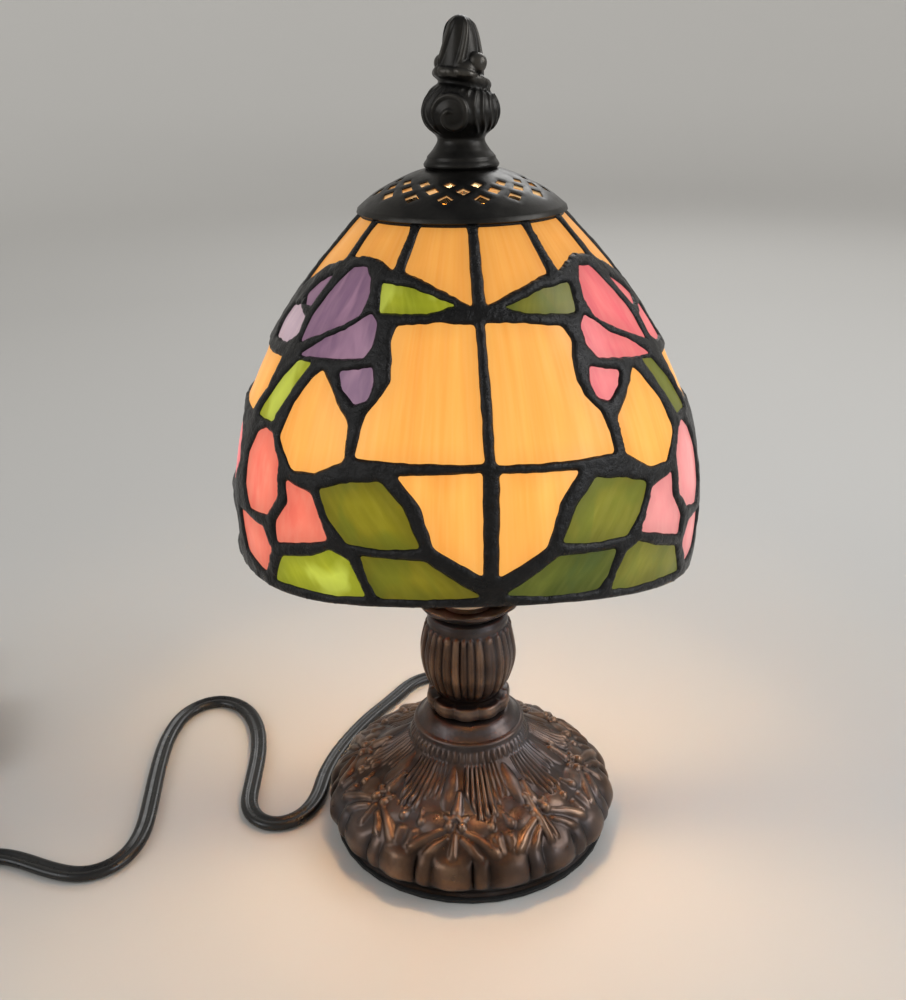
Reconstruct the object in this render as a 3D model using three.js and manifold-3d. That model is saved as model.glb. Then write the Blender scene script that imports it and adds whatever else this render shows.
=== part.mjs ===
// Small stained glass table lamp: a leaded dome shade held on a harp by a finial, over a cast
// bronze-coloured stem and base, with its bulb, its socket and its cord with a switch and a plug.
// Millimetres, +Z up. The origin is on the lamp's axis, at the surface that the base pad stands on.

import * as THREE from "three";
import { mergeGeometries, mergeVertices } from "three/addons/utils/BufferGeometryUtils.js";
import Module from "manifold-3d";

const wasm = await Module();
wasm.setup();

// ---------------------------------------------------------------- driving dimensions

const GAP = 0.3; // clearance between pieces that touch

const SHADE_RADIUS = 76; // widest part of the dome
const SHADE_BELLY_Z = 130; // height of the widest part
const SHADE_TOP_Z = 217.2; // upper edge of the leaded glass
const SHADE_TOP_DROP = 44; // how much narrower the dome is at its upper edge
const SHADE_TURN = THREE.MathUtils.degToRad(4.5); // the shade sits turned a little on its post
const RIM_MEAN_Z = 117.5; // the lower edge is a wave around this height
const RIM_WAVE = 7;
const LEAD_THICK = 3.2; // depth of the solder lines, measured radially
const GLASS_THICK = 2.4;

const CAP_RADIUS = 31;
const CAP_TOP_Z = 229.6;
const CAP_SHEET = 1.2;
const CAP_HOLES = 15; // diamonds in each of the three rows

const STUD_RADIUS = 3.1;
const FINIAL_TIP_Z = 271.5;

const HARP_TOP_Z = 227.8;
const HARP_BOTTOM_Z = 86.8;
const HARP_HALF_WIDTH = 22;
const HARP_STRIP = 1.5;
const HARP_DEPTH = 9;

const ROD_RADIUS = 4.8;
const ROD_BORE = 3.2;
const BORE = 5.2; // clearance hole for the rod in everything stacked on it

const BASE_RADIUS = 51.5;
const BASE_TOP_Z = 40;
const PAD_THICK = 1.2;

const CORD_WIDTH = 6.4; // flat twin cord
const CORD_THICK = 3.2;
const CORD_EXIT_Z = 6.2;
const CORD_LIE_Z = 1.65; // height of the middle of the cord where it lies on the table
const BUSHING_END = 66; // how far behind the axis the strain relief ends

const COIL_CENTRE = [-226.8, -36];
const COIL_INNER = 32.1;
const COIL_OUTER = 45.5;
const COIL_BOTTOM = 1.1;
const COIL_TOP = 11.8;
const TIE_SHEET = 0.7;

const SWITCH_LENGTH = 56;
const SWITCH_WIDTH = 24;
const SWITCH_HALF_HEIGHT = 7.6;
const SWITCH_PLACE = { x: -211, y: 46, angle: THREE.MathUtils.degToRad(105) };
const PLUG_PLACE = { x: -237.1, y: 96.6, angle: THREE.MathUtils.degToRad(135) };

// ---------------------------------------------------------------- materials

const finishes = {
  bronze: [0x4a3226, 0.42, 0.85],
  blackMetal: [0x23211f, 0.4, 0.9],
  solder: [0x141414, 0.45, 0.7],
  amber: [0xf2b258, 0.35, 0],
  green: [0x7d8a22, 0.35, 0],
  pink: [0xe77a72, 0.35, 0],
  lilac: [0xa884a0, 0.35, 0],
  steel: [0x9b9b98, 0.35, 1],
  brass: [0xb08d3c, 0.3, 1],
  clear: [0xf6efe0, 0.1, 0],
  ivory: [0xe9e2d0, 0.5, 0],
  blackPlastic: [0x111111, 0.35, 0],
  felt: [0x1d1d1d, 0.95, 0],
  tungsten: [0xffd08a, 0.5, 0.3],
};

function finish(name) {
  const [color, roughness, metalness] = finishes[name];
  return new THREE.MeshStandardMaterial({ color, roughness, metalness });
}

// ---------------------------------------------------------------- helpers

const lamp = new THREE.Group();
const shade = new THREE.Group();
shade.rotation.z = SHADE_TURN;
lamp.add(shade);

function addMesh(group, name, geometry, finishName) {
  const mesh = new THREE.Mesh(geometry, finish(finishName));
  mesh.name = name;
  group.add(mesh);
  return mesh;
}

function onlyPositions(geometry) {
  const bare = geometry.clone();
  bare.deleteAttribute("normal");
  bare.deleteAttribute("uv");
  return mergeVertices(bare, 1e-4);
}

function toManifold(geometry) {
  const bare = onlyPositions(geometry);
  const vertProperties = new Float32Array(bare.attributes.position.array);
  const triVerts = new Uint32Array(bare.index.array);
  return new wasm.Manifold(new wasm.Mesh({ numProp: 3, vertProperties, triVerts }));
}

function fromManifold(solid) {
  const mesh = solid.getMesh();
  const geometry = new THREE.BufferGeometry();
  geometry.setAttribute("position", new THREE.BufferAttribute(new Float32Array(mesh.vertProperties), 3));
  geometry.setIndex(new THREE.BufferAttribute(new Uint32Array(mesh.triVerts), 1));
  return geometry;
}

function cut(geometry, cutters) {
  const rest = cutters.reduce((solid, cutter) => solid.subtract(toManifold(cutter)), toManifold(geometry));
  return fromManifold(rest);
}

// A solid of revolution about Z. Profile points are [radius, height], listed from the top down.
function turned(profile, segments = 24) {
  const points = profile.map(([r, z]) => new THREE.Vector2(r, z));
  const geometry = new THREE.LatheGeometry(points.reverse(), segments);
  return geometry.rotateX(Math.PI / 2);
}

// A closed ring or bushing: its outer side is given from the top down, its inner side is a bore.
function turnedRing(outer, bore, segments = 24) {
  const top = outer[0][1];
  const bottom = outer[outer.length - 1][1];
  return turned([[bore, top], ...outer, [bore, bottom], [bore, top]], segments);
}

function smooth(points, count) {
  const curve = new THREE.SplineCurve(points.map(([r, z]) => new THREE.Vector2(r, z)));
  return curve.getPoints(count).map((point) => [point.x, point.y]);
}

function shapeFrom(points) {
  return new THREE.Shape(points.map(([x, y]) => new THREE.Vector2(x, y)));
}

function stadium(length, width, arcSteps = 6) {
  const radius = width / 2;
  const straight = length / 2 - radius;
  const points = [];
  for (const side of [1, -1]) {
    for (let i = 0; i <= arcSteps; i += 1) {
      const angle = (i / arcSteps) * Math.PI - Math.PI / 2;
      points.push([side * (straight + radius * Math.cos(angle)), side * radius * Math.sin(angle)]);
    }
  }
  return points;
}

function slab(points, bottom, top) {
  const geometry = new THREE.ExtrudeGeometry(shapeFrom(points), { depth: top - bottom, bevelEnabled: false });
  return geometry.translate(0, 0, bottom);
}

function block(x, y, z, sizeX, sizeY, sizeZ) {
  return new THREE.BoxGeometry(sizeX, sizeY, sizeZ).translate(x, y, z);
}

function boreZ(radius, bottom, top, sides = 24) {
  const geometry = new THREE.CylinderGeometry(radius, radius, top - bottom, sides);
  return geometry.rotateX(Math.PI / 2).translate(0, 0, (top + bottom) / 2);
}

// A route whose frames stay level, so that a flat section lies on its wide side.
class LevelRoute extends THREE.CatmullRomCurve3 {
  computeFrenetFrames(segments) {
    const tangents = [];
    const normals = [];
    const binormals = [];
    let across = new THREE.Vector3(1, 0, 0);
    for (let i = 0; i <= segments; i += 1) {
      const along = this.getTangentAt(i / segments);
      if (Math.hypot(along.x, along.y) > 0.2) {
        across = new THREE.Vector3(along.y, -along.x, 0);
      }
      across = across.clone().addScaledVector(along, -across.dot(along)).normalize();
      tangents.push(along);
      binormals.push(across);
      normals.push(new THREE.Vector3().crossVectors(across, along));
    }
    return { tangents, normals, binormals };
  }
}

// A cord or wire along a route. Its section is halfHigh thick upwards and halfWide to the sides.
function routed(points, halfHigh, halfWide, sides, steps) {
  const section = [];
  for (let i = 0; i < sides; i += 1) {
    const angle = ((i + 0.5) / sides) * 2 * Math.PI;
    section.push([halfHigh * Math.cos(angle), halfWide * Math.sin(angle)]);
  }
  const extrudePath = new LevelRoute(points.map((point) => new THREE.Vector3(...point)), false, "centripetal");
  return new THREE.ExtrudeGeometry(shapeFrom(section), { steps, extrudePath, bevelEnabled: false });
}

// ---------------------------------------------------------------- the shade's surface

// Outer radius of the dome at a height: a parabola above the belly, nearly upright below it.
function shadeRadius(z) {
  if (z < SHADE_BELLY_Z) {
    return SHADE_RADIUS - ((SHADE_BELLY_Z - z) / 19) ** 2;
  }
  return SHADE_RADIUS - SHADE_TOP_DROP * ((z - SHADE_BELLY_Z) / (SHADE_TOP_Z - SHADE_BELLY_Z)) ** 2;
}

function rimHeight(degrees) {
  return RIM_MEAN_Z + RIM_WAVE * Math.cos(THREE.MathUtils.degToRad(2 * degrees));
}

// How much higher the hand-made pattern sits than its drawing: the left side is higher than the
// right one, and the petals and the rim on the left are lifted further.
function patternLift(degrees, z) {
  const { degToRad, smoothstep } = THREE.MathUtils;
  const lean = -1.7 * Math.sin(degToRad(degrees)) * (1 - smoothstep(z, 200, 214));
  const petals = 4 * Math.exp(-(((degrees + 80) / 24) ** 2)) * (1 - smoothstep(z, 135, 160));
  return lean + petals;
}

// Longitude 0 faces the front (-Y) and grows towards +X.
function onShade([degrees, drawnZ], depth) {
  const angle = THREE.MathUtils.degToRad(degrees);
  const z = drawnZ + patternLift(degrees, drawnZ);
  const radius = shadeRadius(z) - depth;
  return [radius * Math.sin(angle), -radius * Math.cos(angle), z];
}

// Splits the sides of an outline so that none is longer than the given steps.
function subdivided(outline, stepDegrees = 10, stepZ = 14) {
  const points = [];
  outline.forEach((start, i) => {
    const end = outline[(i + 1) % outline.length];
    const spanDegrees = Math.abs(end[0] - start[0]) / stepDegrees;
    const spanZ = Math.abs(end[1] - start[1]) / stepZ;
    const pieces = Math.max(1, Math.ceil(Math.max(spanDegrees, spanZ) - 1e-6));
    for (let k = 0; k < pieces; k += 1) {
      const t = k / pieces;
      points.push([start[0] + t * (end[0] - start[0]), start[1] + t * (end[1] - start[1])]);
    }
  });
  return points;
}

function signedArea(outline) {
  return outline.reduce((sum, [x, y], i) => {
    const [nextX, nextY] = outline[(i + 1) % outline.length];
    return sum + x * nextY - nextX * y;
  }, 0);
}

function counterClockwise(outline) {
  return signedArea(outline) > 0 ? outline : [...outline].reverse();
}

// Moves an outline's sides inwards by a distance in millimetres.
function inset(outline, distance) {
  const count = outline.length;
  return outline.map(([degrees, z], i) => {
    const perDegree = THREE.MathUtils.degToRad(1) * shadeRadius(z);
    const before = outline[(i + count - 1) % count];
    const after = outline[(i + 1) % count];
    const sides = [[before, outline[i]], [outline[i], after]].map(([a, b]) => {
      const side = new THREE.Vector2((b[0] - a[0]) * perDegree, b[1] - a[1]).normalize();
      return new THREE.Vector2(-side.y, side.x);
    });
    const middle = sides[0].clone().add(sides[1]);
    const reach = (2 * distance) / Math.max(middle.lengthSq(), 1);
    return [degrees + (middle.x * reach) / perDegree, z + middle.y * reach];
  });
}

// Where a point of the dome lies on the flat pattern, in millimetres. The pattern is bowed very
// slightly, so that no three corners of a side are in one line and every corner is used.
function onPattern([degrees, z]) {
  const bow = 1e-5;
  const perDegree = 1.2;
  return new THREE.Vector2(perDegree * degrees + bow * z * z, z + bow * degrees * degrees);
}

function cornerAngle(at, from, to) {
  const one = from.clone().sub(at);
  const other = to.clone().sub(at);
  return Math.abs(Math.atan2(one.cross(other), one.dot(other)));
}

// Swaps the diagonals of neighbouring triangles until none is long and thin without need, so that
// the triangles follow the dome instead of cutting across it.
function relax(faces, points) {
  const turn = (a, b, c) => signedArea([a, b, c].map((corner) => points[corner].toArray()));
  let swaps = 1;
  while (swaps > 0) {
    swaps = 0;
    const sides = new Map();
    for (const face of faces) {
      face.forEach((a, k) => sides.set(`${a},${face[(k + 1) % 3]}`, { face, apex: face[(k + 2) % 3] }));
    }
    const touched = new Set();
    for (const [key, near] of sides) {
      const [a, b] = key.split(",").map(Number);
      const far = sides.get(`${b},${a}`);
      if (a > b || !far || touched.has(near.face) || touched.has(far.face)) {
        continue;
      }
      const [c, d] = [near.apex, far.apex];
      const facing = cornerAngle(points[c], points[a], points[b]) + cornerAngle(points[d], points[a], points[b]);
      if (facing > Math.PI + 1e-6 && turn(a, d, c) > 0 && turn(d, b, c) > 0) {
        near.face.splice(0, 3, a, d, c);
        far.face.splice(0, 3, d, b, c);
        touched.add(near.face).add(far.face);
        swaps += 1;
      }
    }
  }
}

// A curved sheet between two depths under the dome's surface, with holes. When its outline goes
// all the way round, its two upright ends coincide and are joined instead of walled.
function curvedSheet(outline, holes, outerDepth, innerDepth, closesAt = null) {
  const contour = outline.map(onPattern);
  const openings = holes.map((hole) => hole.map(onPattern));
  const flat = [...outline, ...holes.flat()];
  const faces = THREE.ShapeUtils.triangulateShape(contour, openings);
  const patternPoints = [...contour, ...openings.flat()];
  for (const face of faces) {
    if (signedArea(face.map((corner) => patternPoints[corner].toArray())) < 0) {
      face.reverse();
    }
  }
  relax(faces, patternPoints);
  const positions = [];
  for (const depth of [outerDepth, innerDepth]) {
    for (const point of flat) {
      positions.push(...onShade(point, depth));
    }
  }
  const index = [];
  for (const [a, b, c] of faces) {
    index.push(a, b, c);
    index.push(a + flat.length, c + flat.length, b + flat.length);
  }
  let first = 0;
  for (const loop of [outline, ...holes]) {
    loop.forEach((point, i) => {
      const next = loop[(i + 1) % loop.length];
      const atSeam = closesAt !== null && Math.abs(Math.abs(point[0]) - closesAt) < 1e-6
        && Math.abs(Math.abs(next[0]) - closesAt) < 1e-6;
      if (!atSeam) {
        const a = first + i;
        const b = first + ((i + 1) % loop.length);
        index.push(a, a + flat.length, b, b, a + flat.length, b + flat.length);
      }
    });
    first += loop.length;
  }
  const geometry = new THREE.BufferGeometry();
  geometry.setAttribute("position", new THREE.BufferAttribute(new Float32Array(positions), 3));
  geometry.setIndex(index);
  return mergeVertices(geometry, 1e-3);
}

// ---------------------------------------------------------------- glass of the shade

// One quarter of the pattern, from the front came (longitude 0) to the side (longitude 90), in
// degrees and millimetres of height. The other quarters are its mirror images. Inside one panel
// here, the finer solder lines lie on the surface.
const quarterPanels = {
  crown_inner: { colour: "amber", outline: [[2.4, 199.8], [10, 202.6], [20, 205.2], [28, 206.6], [27.6, 215], [2.8, 215]] },
  crown_middle: { colour: "amber", outline: [[33.4, 206.8], [40, 208.6], [48, 210], [57.5, 208.8], [57.2, 215], [33, 215]] },
  crown_outer: { colour: "amber", outline: [[62.5, 208], [72, 204.8], [80, 201.2], [87.6, 196.5], [87.2, 215], [62.6, 215]] },
  bud: {
    colour: "lilac",
    outline: [
      [8, 198.6], [16, 196.6], [31, 195.5], [31, 189], [30, 184], [29, 180], [30, 176.5], [33, 175], [38, 178],
      [41, 182], [46, 183.6], [58, 182.6], [64, 183.4], [72, 182.8], [84, 185], [84, 190], [76, 196.5],
      [71, 200.4], [63, 204], [54, 206.2], [47, 206.8], [42, 205.4], [35, 203.8], [24, 202.8],
    ],
  },
  field: {
    colour: "amber",
    outline: [
      [1.4, 163], [16, 162.6], [30.4, 162.6], [30.4, 168], [29.4, 173], [26.4, 177], [24.4, 181], [25, 186],
      [27.4, 190], [26, 192.4], [12, 193.4], [1.7, 194],
    ],
  },
  foot: {
    colour: "green",
    outline: [
      [2.6, 127.4], [12, 126.2], [24, 124.4], [36, 122], [46, 119.8], [53, 118.2], [50, 127], [43, 131.6],
      [36, 136.4], [33.4, 140], [36.4, 146], [37.8, 152.4], [32, 156], [24, 157.6], [20, 159.6], [1.6, 160.2],
      [1.6, 140],
    ],
  },
};

// The side of the shade, symmetrical about longitude 90: its near half.
const sidePanelHalf = [
  [90, 113.4], [78, 114.4], [67, 117], [57.5, 119.6], [54, 128], [51, 131.4], [44, 134.6], [37.2, 139],
  [39.8, 146], [43, 151], [41, 154.6], [33.8, 160.6], [33.8, 170], [38, 173.6], [42, 177.4], [46, 180],
  [58, 179.4], [70, 179.2], [80, 178.6], [90, 178.6],
];

const quarters = {
  front_right: (degrees) => degrees,
  back_right: (degrees) => 180 - degrees,
  back_left: (degrees) => degrees - 180,
  front_left: (degrees) => -degrees,
};

const glassHoles = [];

function addPanel(name, outline, colour) {
  const hole = subdivided(counterClockwise(outline));
  glassHoles.push([...hole].reverse());
  const pane = inset(hole, GAP);
  const edgeDepth = (LEAD_THICK - GLASS_THICK) / 2;
  addMesh(shade, name, curvedSheet(pane, [], edgeDepth, edgeDepth + GLASS_THICK), colour);
}

for (const [panelName, { colour, outline }] of Object.entries(quarterPanels)) {
  for (const [quarterName, place] of Object.entries(quarters)) {
    const isPinkBud = panelName === "bud" && ["front_right", "back_left"].includes(quarterName);
    const placed = outline.map(([degrees, z]) => [place(degrees), z]);
    addPanel(`glass_${panelName}_${quarterName}`, placed, isPinkBud ? "pink" : colour);
  }
}

for (const [sideName, side] of [["right", 1], ["left", -1]]) {
  const farHalf = sidePanelHalf.slice(1, -1).reverse().map(([degrees, z]) => [180 - degrees, z]);
  const outline = [...sidePanelHalf, ...farHalf].map(([degrees, z]) => [side * degrees, z]);
  addPanel(`glass_side_${sideName}`, outline, "pink");
}

// ---------------------------------------------------------------- solder lattice

function addLattice() {
  const steps = 48;
  const lower = [];
  const upper = [];
  for (let i = 0; i <= steps; i += 1) {
    const degrees = -180 + (i / steps) * 360;
    lower.push([degrees, rimHeight(degrees)]);
    upper.push([degrees, SHADE_TOP_Z]);
  }
  const seam = [];
  for (let z = rimHeight(180) + 11; z < SHADE_TOP_Z - 6; z += 11) {
    seam.push(z);
  }
  const outline = [
    ...lower,
    ...seam.map((z) => [180, z]),
    ...upper.reverse(),
    ...[...seam].reverse().map((z) => [-180, z]),
  ];
  addMesh(shade, "solder_lattice", curvedSheet(outline, glassHoles, 0, LEAD_THICK, 180), "solder");
}
addLattice();

// ---------------------------------------------------------------- cap and finial

const capOuter = [
  [11, CAP_TOP_Z], [15, CAP_TOP_Z - 1.1], [20, CAP_TOP_Z - 3.2], [25, CAP_TOP_Z - 5.9],
  [28.6, CAP_TOP_Z - 8.6], [CAP_RADIUS, SHADE_TOP_Z + GAP + 0.9], [CAP_RADIUS, SHADE_TOP_Z + GAP],
];

function addCap() {
  const inner = capOuter.slice(0, -1).reverse().map(([r, z]) => [r - CAP_SHEET * 0.8, z - CAP_SHEET]);
  const boreRadius = STUD_RADIUS + 0.4;
  const profile = [
    [boreRadius, CAP_TOP_Z], ...capOuter, [CAP_RADIUS - CAP_SHEET, SHADE_TOP_Z + GAP], ...inner.slice(1),
    [boreRadius, CAP_TOP_Z - CAP_SHEET], [boreRadius, CAP_TOP_Z],
  ];
  const rows = [
    { radius: 24.6, half: [2.5, 1.9], turn: 0 },
    { radius: 21.3, half: [2.3, 1.6], turn: 0.5 },
    { radius: 18.3, half: [2.0, 1.4], turn: 0 },
  ];
  const cutters = [];
  for (const { radius, half, turn } of rows) {
    for (let i = 0; i < CAP_HOLES; i += 1) {
      const diamond = [[0, -half[1]], [half[0], 0], [0, half[1]], [-half[0], 0]];
      const cutter = slab(diamond, CAP_TOP_Z - 12, CAP_TOP_Z + 2);
      const angle = ((i + turn) / CAP_HOLES) * 2 * Math.PI;
      cutters.push(cutter.translate(0, -radius, 0).rotateZ(angle));
    }
  }
  addMesh(shade, "heat_cap", cut(turned(profile, 36), cutters), "blackMetal");
}
addCap();

function addFinial() {
  const bottom = CAP_TOP_Z + GAP;
  const outer = [
    [2.4, 270.4], [4.4, 266.8], [6.2, 260.4], [7.2, 256.4], [7, 253.6], [8.4, 251.4], [10.3, 248.4], [11, 245.4],
    [10.3, 242.6], [8.4, 240.2], [6.9, 238], [8.2, 235.4], [10.2, 233], [10.9, 231.2], [10.5, bottom],
  ];
  const socket = STUD_RADIUS + GAP;
  const profile = [
    [0, FINIAL_TIP_Z], ...smooth(outer, 18), [socket, bottom], [socket, 245], [0, 245],
  ];
  addMesh(shade, "finial", turned(profile, 18), "blackMetal");
}
addFinial();

// ---------------------------------------------------------------- harp, stud, rod and fixings

function addHarp() {
  const side = (offset) => {
    const half = HARP_HALF_WIDTH - offset;
    const bottom = HARP_BOTTOM_Z + offset;
    const top = HARP_TOP_Z - offset;
    return [
      [11.5 - offset * 0.4, bottom], [half - 3, bottom + 12], [half, bottom + 34], [half, top - 52],
      [half - 3, top - 22], [11 - offset * 0.4, top - 3], [8 - offset * 0.4, top],
    ];
  };
  const loop = (offset) => {
    const right = side(offset);
    return [...right, ...[...right].reverse().map(([x, z]) => [-x, z])];
  };
  const band = shapeFrom(loop(0));
  band.holes.push(new THREE.Path(loop(HARP_STRIP).map(([x, z]) => new THREE.Vector2(x, z))));
  const strip = new THREE.ExtrudeGeometry(band, { depth: HARP_DEPTH, bevelEnabled: false });
  strip.translate(0, 0, -HARP_DEPTH / 2).rotateX(Math.PI / 2);
  const wide = new THREE.CylinderGeometry(9, 9, HARP_STRIP, 24).rotateX(Math.PI / 2);
  wide.translate(0, 0, HARP_BOTTOM_Z + HARP_STRIP / 2);
  const body = fromManifold(toManifold(strip).add(toManifold(wide)));
  const holes = [
    boreZ(BORE, HARP_BOTTOM_Z - 1, HARP_BOTTOM_Z + HARP_STRIP + 1),
    boreZ(STUD_RADIUS + GAP, HARP_TOP_Z - HARP_STRIP - 1, HARP_TOP_Z + 1),
  ];
  addMesh(lamp, "harp", cut(body, holes), "steel");
}
addHarp();

const studHeadTop = HARP_TOP_Z - HARP_STRIP - GAP;
addMesh(lamp, "harp_stud", turned([
  [0, 243.5], [2.4, 243.5], [STUD_RADIUS, 242.6], [STUD_RADIUS, studHeadTop], [5.6, studHeadTop],
  [5.6, studHeadTop - 3], [0, studHeadTop - 3],
], 12), "steel");

const rodTop = 93.6;
const rodBottom = 27;
const rod = turnedRing([[ROD_RADIUS, rodTop], [ROD_RADIUS, rodBottom]], ROD_BORE, 20);
addMesh(lamp, "threaded_rod", rod, "steel");

const ceilingZ = BASE_TOP_Z - 4;
addMesh(lamp, "lock_washer", turnedRing([[9, ceilingZ - GAP], [9, ceilingZ - GAP - 1]], BORE, 20), "steel");
const nutTop = ceilingZ - 2 * GAP - 1;
const hexagon = turned([[0, nutTop], [8.2, nutTop], [8.2, nutTop - 4.4], [0, nutTop - 4.4]], 6);
addMesh(lamp, "base_nut", cut(hexagon, [boreZ(BORE, nutTop - 6, nutTop + 1)]), "steel");

// ---------------------------------------------------------------- base and stem castings

function addBase() {
  const bottom = PAD_THICK + GAP;
  const outer = [
    [18.8, BASE_TOP_Z], [19.2, 38.4], [21.6, 34.4], [28, 29.4], [38.4, 23.2], [46, 18.2], [50, 14],
    [BASE_RADIUS, 9.6], [BASE_RADIUS, 5.4], [50.2, bottom],
  ];
  const inner = [[47.4, bottom], [48.2, 9.4], [44.4, 14.6], [36, 21], [25, 27.2], [18, 32], [14, ceilingZ]];
  const profile = [[BORE, BASE_TOP_Z], ...outer, ...inner, [BORE, ceilingZ], [BORE, BASE_TOP_Z]];
  const hole = new THREE.CylinderGeometry(3.9, 3.9, 12, 16).translate(0, 50, CORD_EXIT_Z);
  addMesh(lamp, "base_casting", cut(turned(profile, 40), [hole]), "bronze");
}
addBase();

addMesh(lamp, "base_pad", turned([[0, PAD_THICK], [49.6, PAD_THICK], [49.6, 0], [0, 0]], 36), "felt");

const neckBottom = BASE_TOP_Z + GAP;
addMesh(lamp, "neck_ring", turnedRing([
  [12.8, 46], [16.4, 44.6], [18.4, 43.2], [18.4, 41.6], [17.4, neckBottom],
], BORE), "bronze");

addMesh(lamp, "leaf_cup", turnedRing([
  [12.2, 52.6], [13.6, 52], [14, 49.6], [13.4, 47.4], [12.2, 46 + GAP],
], BORE), "bronze");

addMesh(lamp, "vase_body", turnedRing([
  [13.3, 84], [13.6, 82.4], [14.4, 79.6], [16, 74], [16.6, 69], [16.2, 64], [14.4, 58.6], [12.4, 55],
  [11.4, 52.6 + GAP],
], BORE), "bronze");

addMesh(lamp, "drip_dish", turned([
  [BORE, 86.4], [12.4, 86.4], [17.6, 88.6], [18.8, 88.2], [18.4, 87], [13, 84.6], [12, 84 + GAP],
  [BORE, 84 + GAP], [BORE, 86.4],
]), "bronze");

// ---------------------------------------------------------------- socket and bulb

const socketBottom = HARP_BOTTOM_Z + HARP_STRIP + GAP;
addMesh(lamp, "socket_sleeve", turned([
  [8, 122], [10, 122], [10, socketBottom], [BORE, socketBottom], [BORE, socketBottom + 2], [8, socketBottom + 2],
  [8, 122],
], 24), "ivory");
addMesh(lamp, "socket_shell", turnedRing([[7.6, 120], [7.6, 97.6]], 6.9, 24), "brass");
addMesh(lamp, "socket_contact", turned([[0, 97.2], [4, 96.6], [4, 95.6], [0, 95.6]], 12), "brass");

const bulb = new THREE.Group();
lamp.add(bulb);

function addBulb() {
  const skin = 0.8;
  const outer = [[7, 124.6], [9, 128], [13.6, 138], [16.4, 150], [16.2, 161], [13, 173], [7.6, 184], [3, 189.6]];
  const outside = smooth(outer, 9).reverse();
  const inside = smooth(outer, 9).map(([r, z]) => [Math.max(r - skin, 1.2), z < 126 ? z : z - skin * 0.6]);
  const envelope = [[0, 191], ...outside, [7, 122], [7 - skin, 122], ...inside, [0, 188.6]];
  addMesh(bulb, "bulb_envelope", turned(envelope, 18), "clear");
  addMesh(bulb, "bulb_cap", turned([
    [0, 121.6], [6.4, 121.6], [6.4, 100], [3.2, 97.9], [0, 97.6],
  ], 20), "brass");
  addMesh(bulb, "bulb_stem", turned([[0, 140], [1.6, 139], [2.4, 132], [4.6, 122], [0, 122]], 12), "clear");
  const legs = [[-6, 0, 160], [-4.4, 0, 148], [-2, 0, 143.6], [0, 0, 142.4], [2, 0, 143.6], [4.4, 0, 148], [6, 0, 160]];
  addMesh(bulb, "bulb_filament", routed(legs, 0.5, 0.5, 6, 12), "tungsten");
}
addBulb();

// ---------------------------------------------------------------- cord, switch and plug

function addBushing() {
  const front = 44;
  const profile = [
    [0, front], [5.2, front], [5.2, 45.4], [3.5, 45.4], [3.5, 52.4], [4.9, 52.6], [4.7, 55], [3.5, BUSHING_END],
    [0, BUSHING_END],
  ];
  const points = profile.map(([r, y]) => new THREE.Vector2(r, y));
  const bushing = new THREE.LatheGeometry(points, 16);
  addMesh(lamp, "cord_bushing", bushing.translate(0, 0, CORD_EXIT_Z + 0.2), "blackPlastic");
}
addBushing();

const innerRoute = [
  [0, 43.7, CORD_EXIT_Z], [0, 34, 6], [0, 20, 8], [0, 8, 14], [0, 1.4, 21], [0, 0, 28], [0, 0, 50], [0, 0, 72],
  [0, 0, 92],
];
addMesh(lamp, "inner_lead", routed(innerRoute, 1.8, 1.8, 8, 20), "blackPlastic");

const cordRoute = [
  [0, BUSHING_END + GAP, 6.4], [0, 68.6, 6.2], [0, 73, 4], [-1.2, 78, 2], [-4.4, 84.5, CORD_LIE_Z],
  [-12, 89.6, CORD_LIE_Z], [-21, 85.4, CORD_LIE_Z], [-31, 73, CORD_LIE_Z], [-42, 56, CORD_LIE_Z],
  [-51, 37, CORD_LIE_Z], [-56.2, 19, CORD_LIE_Z], [-58, 6, CORD_LIE_Z], [-63, -5.4, CORD_LIE_Z],
  [-73, -8.6, CORD_LIE_Z], [-81.4, -1, CORD_LIE_Z], [-83.6, 14, CORD_LIE_Z], [-84.6, 34, CORD_LIE_Z],
  [-88.4, 53, CORD_LIE_Z], [-97, 67, CORD_LIE_Z], [-109, 72, CORD_LIE_Z], [-119.6, 64.6, CORD_LIE_Z],
  [-123.6, 47, CORD_LIE_Z], [-123, 26, CORD_LIE_Z], [-120.6, 4, CORD_LIE_Z], [-119.2, -14, CORD_LIE_Z],
  [-122.6, -27.6, CORD_LIE_Z], [-133, -34.6, CORD_LIE_Z], [-147, -31.4, CORD_LIE_Z],
  [-159, -26, CORD_LIE_Z], [-170, -22.4, CORD_LIE_Z], [-176, -22, 2.2], [-180.6, -23.8, 2.7],
];
addMesh(lamp, "cord_free", routed(cordRoute, CORD_THICK / 2, CORD_WIDTH / 2, 8, 62), "blackPlastic");

const coilSection = [
  [COIL_INNER + 1, COIL_TOP], [COIL_OUTER - 1, COIL_TOP], [COIL_OUTER, COIL_TOP - 1], [COIL_OUTER, COIL_BOTTOM + 1],
  [COIL_OUTER - 1, COIL_BOTTOM], [COIL_INNER + 1, COIL_BOTTOM], [COIL_INNER, COIL_BOTTOM + 1],
  [COIL_INNER, COIL_TOP - 1], [COIL_INNER + 1, COIL_TOP],
];
const coil = addMesh(lamp, "cord_coil", turned(coilSection, 36), "blackPlastic");
coil.position.set(COIL_CENTRE[0], COIL_CENTRE[1], 0);

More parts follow.
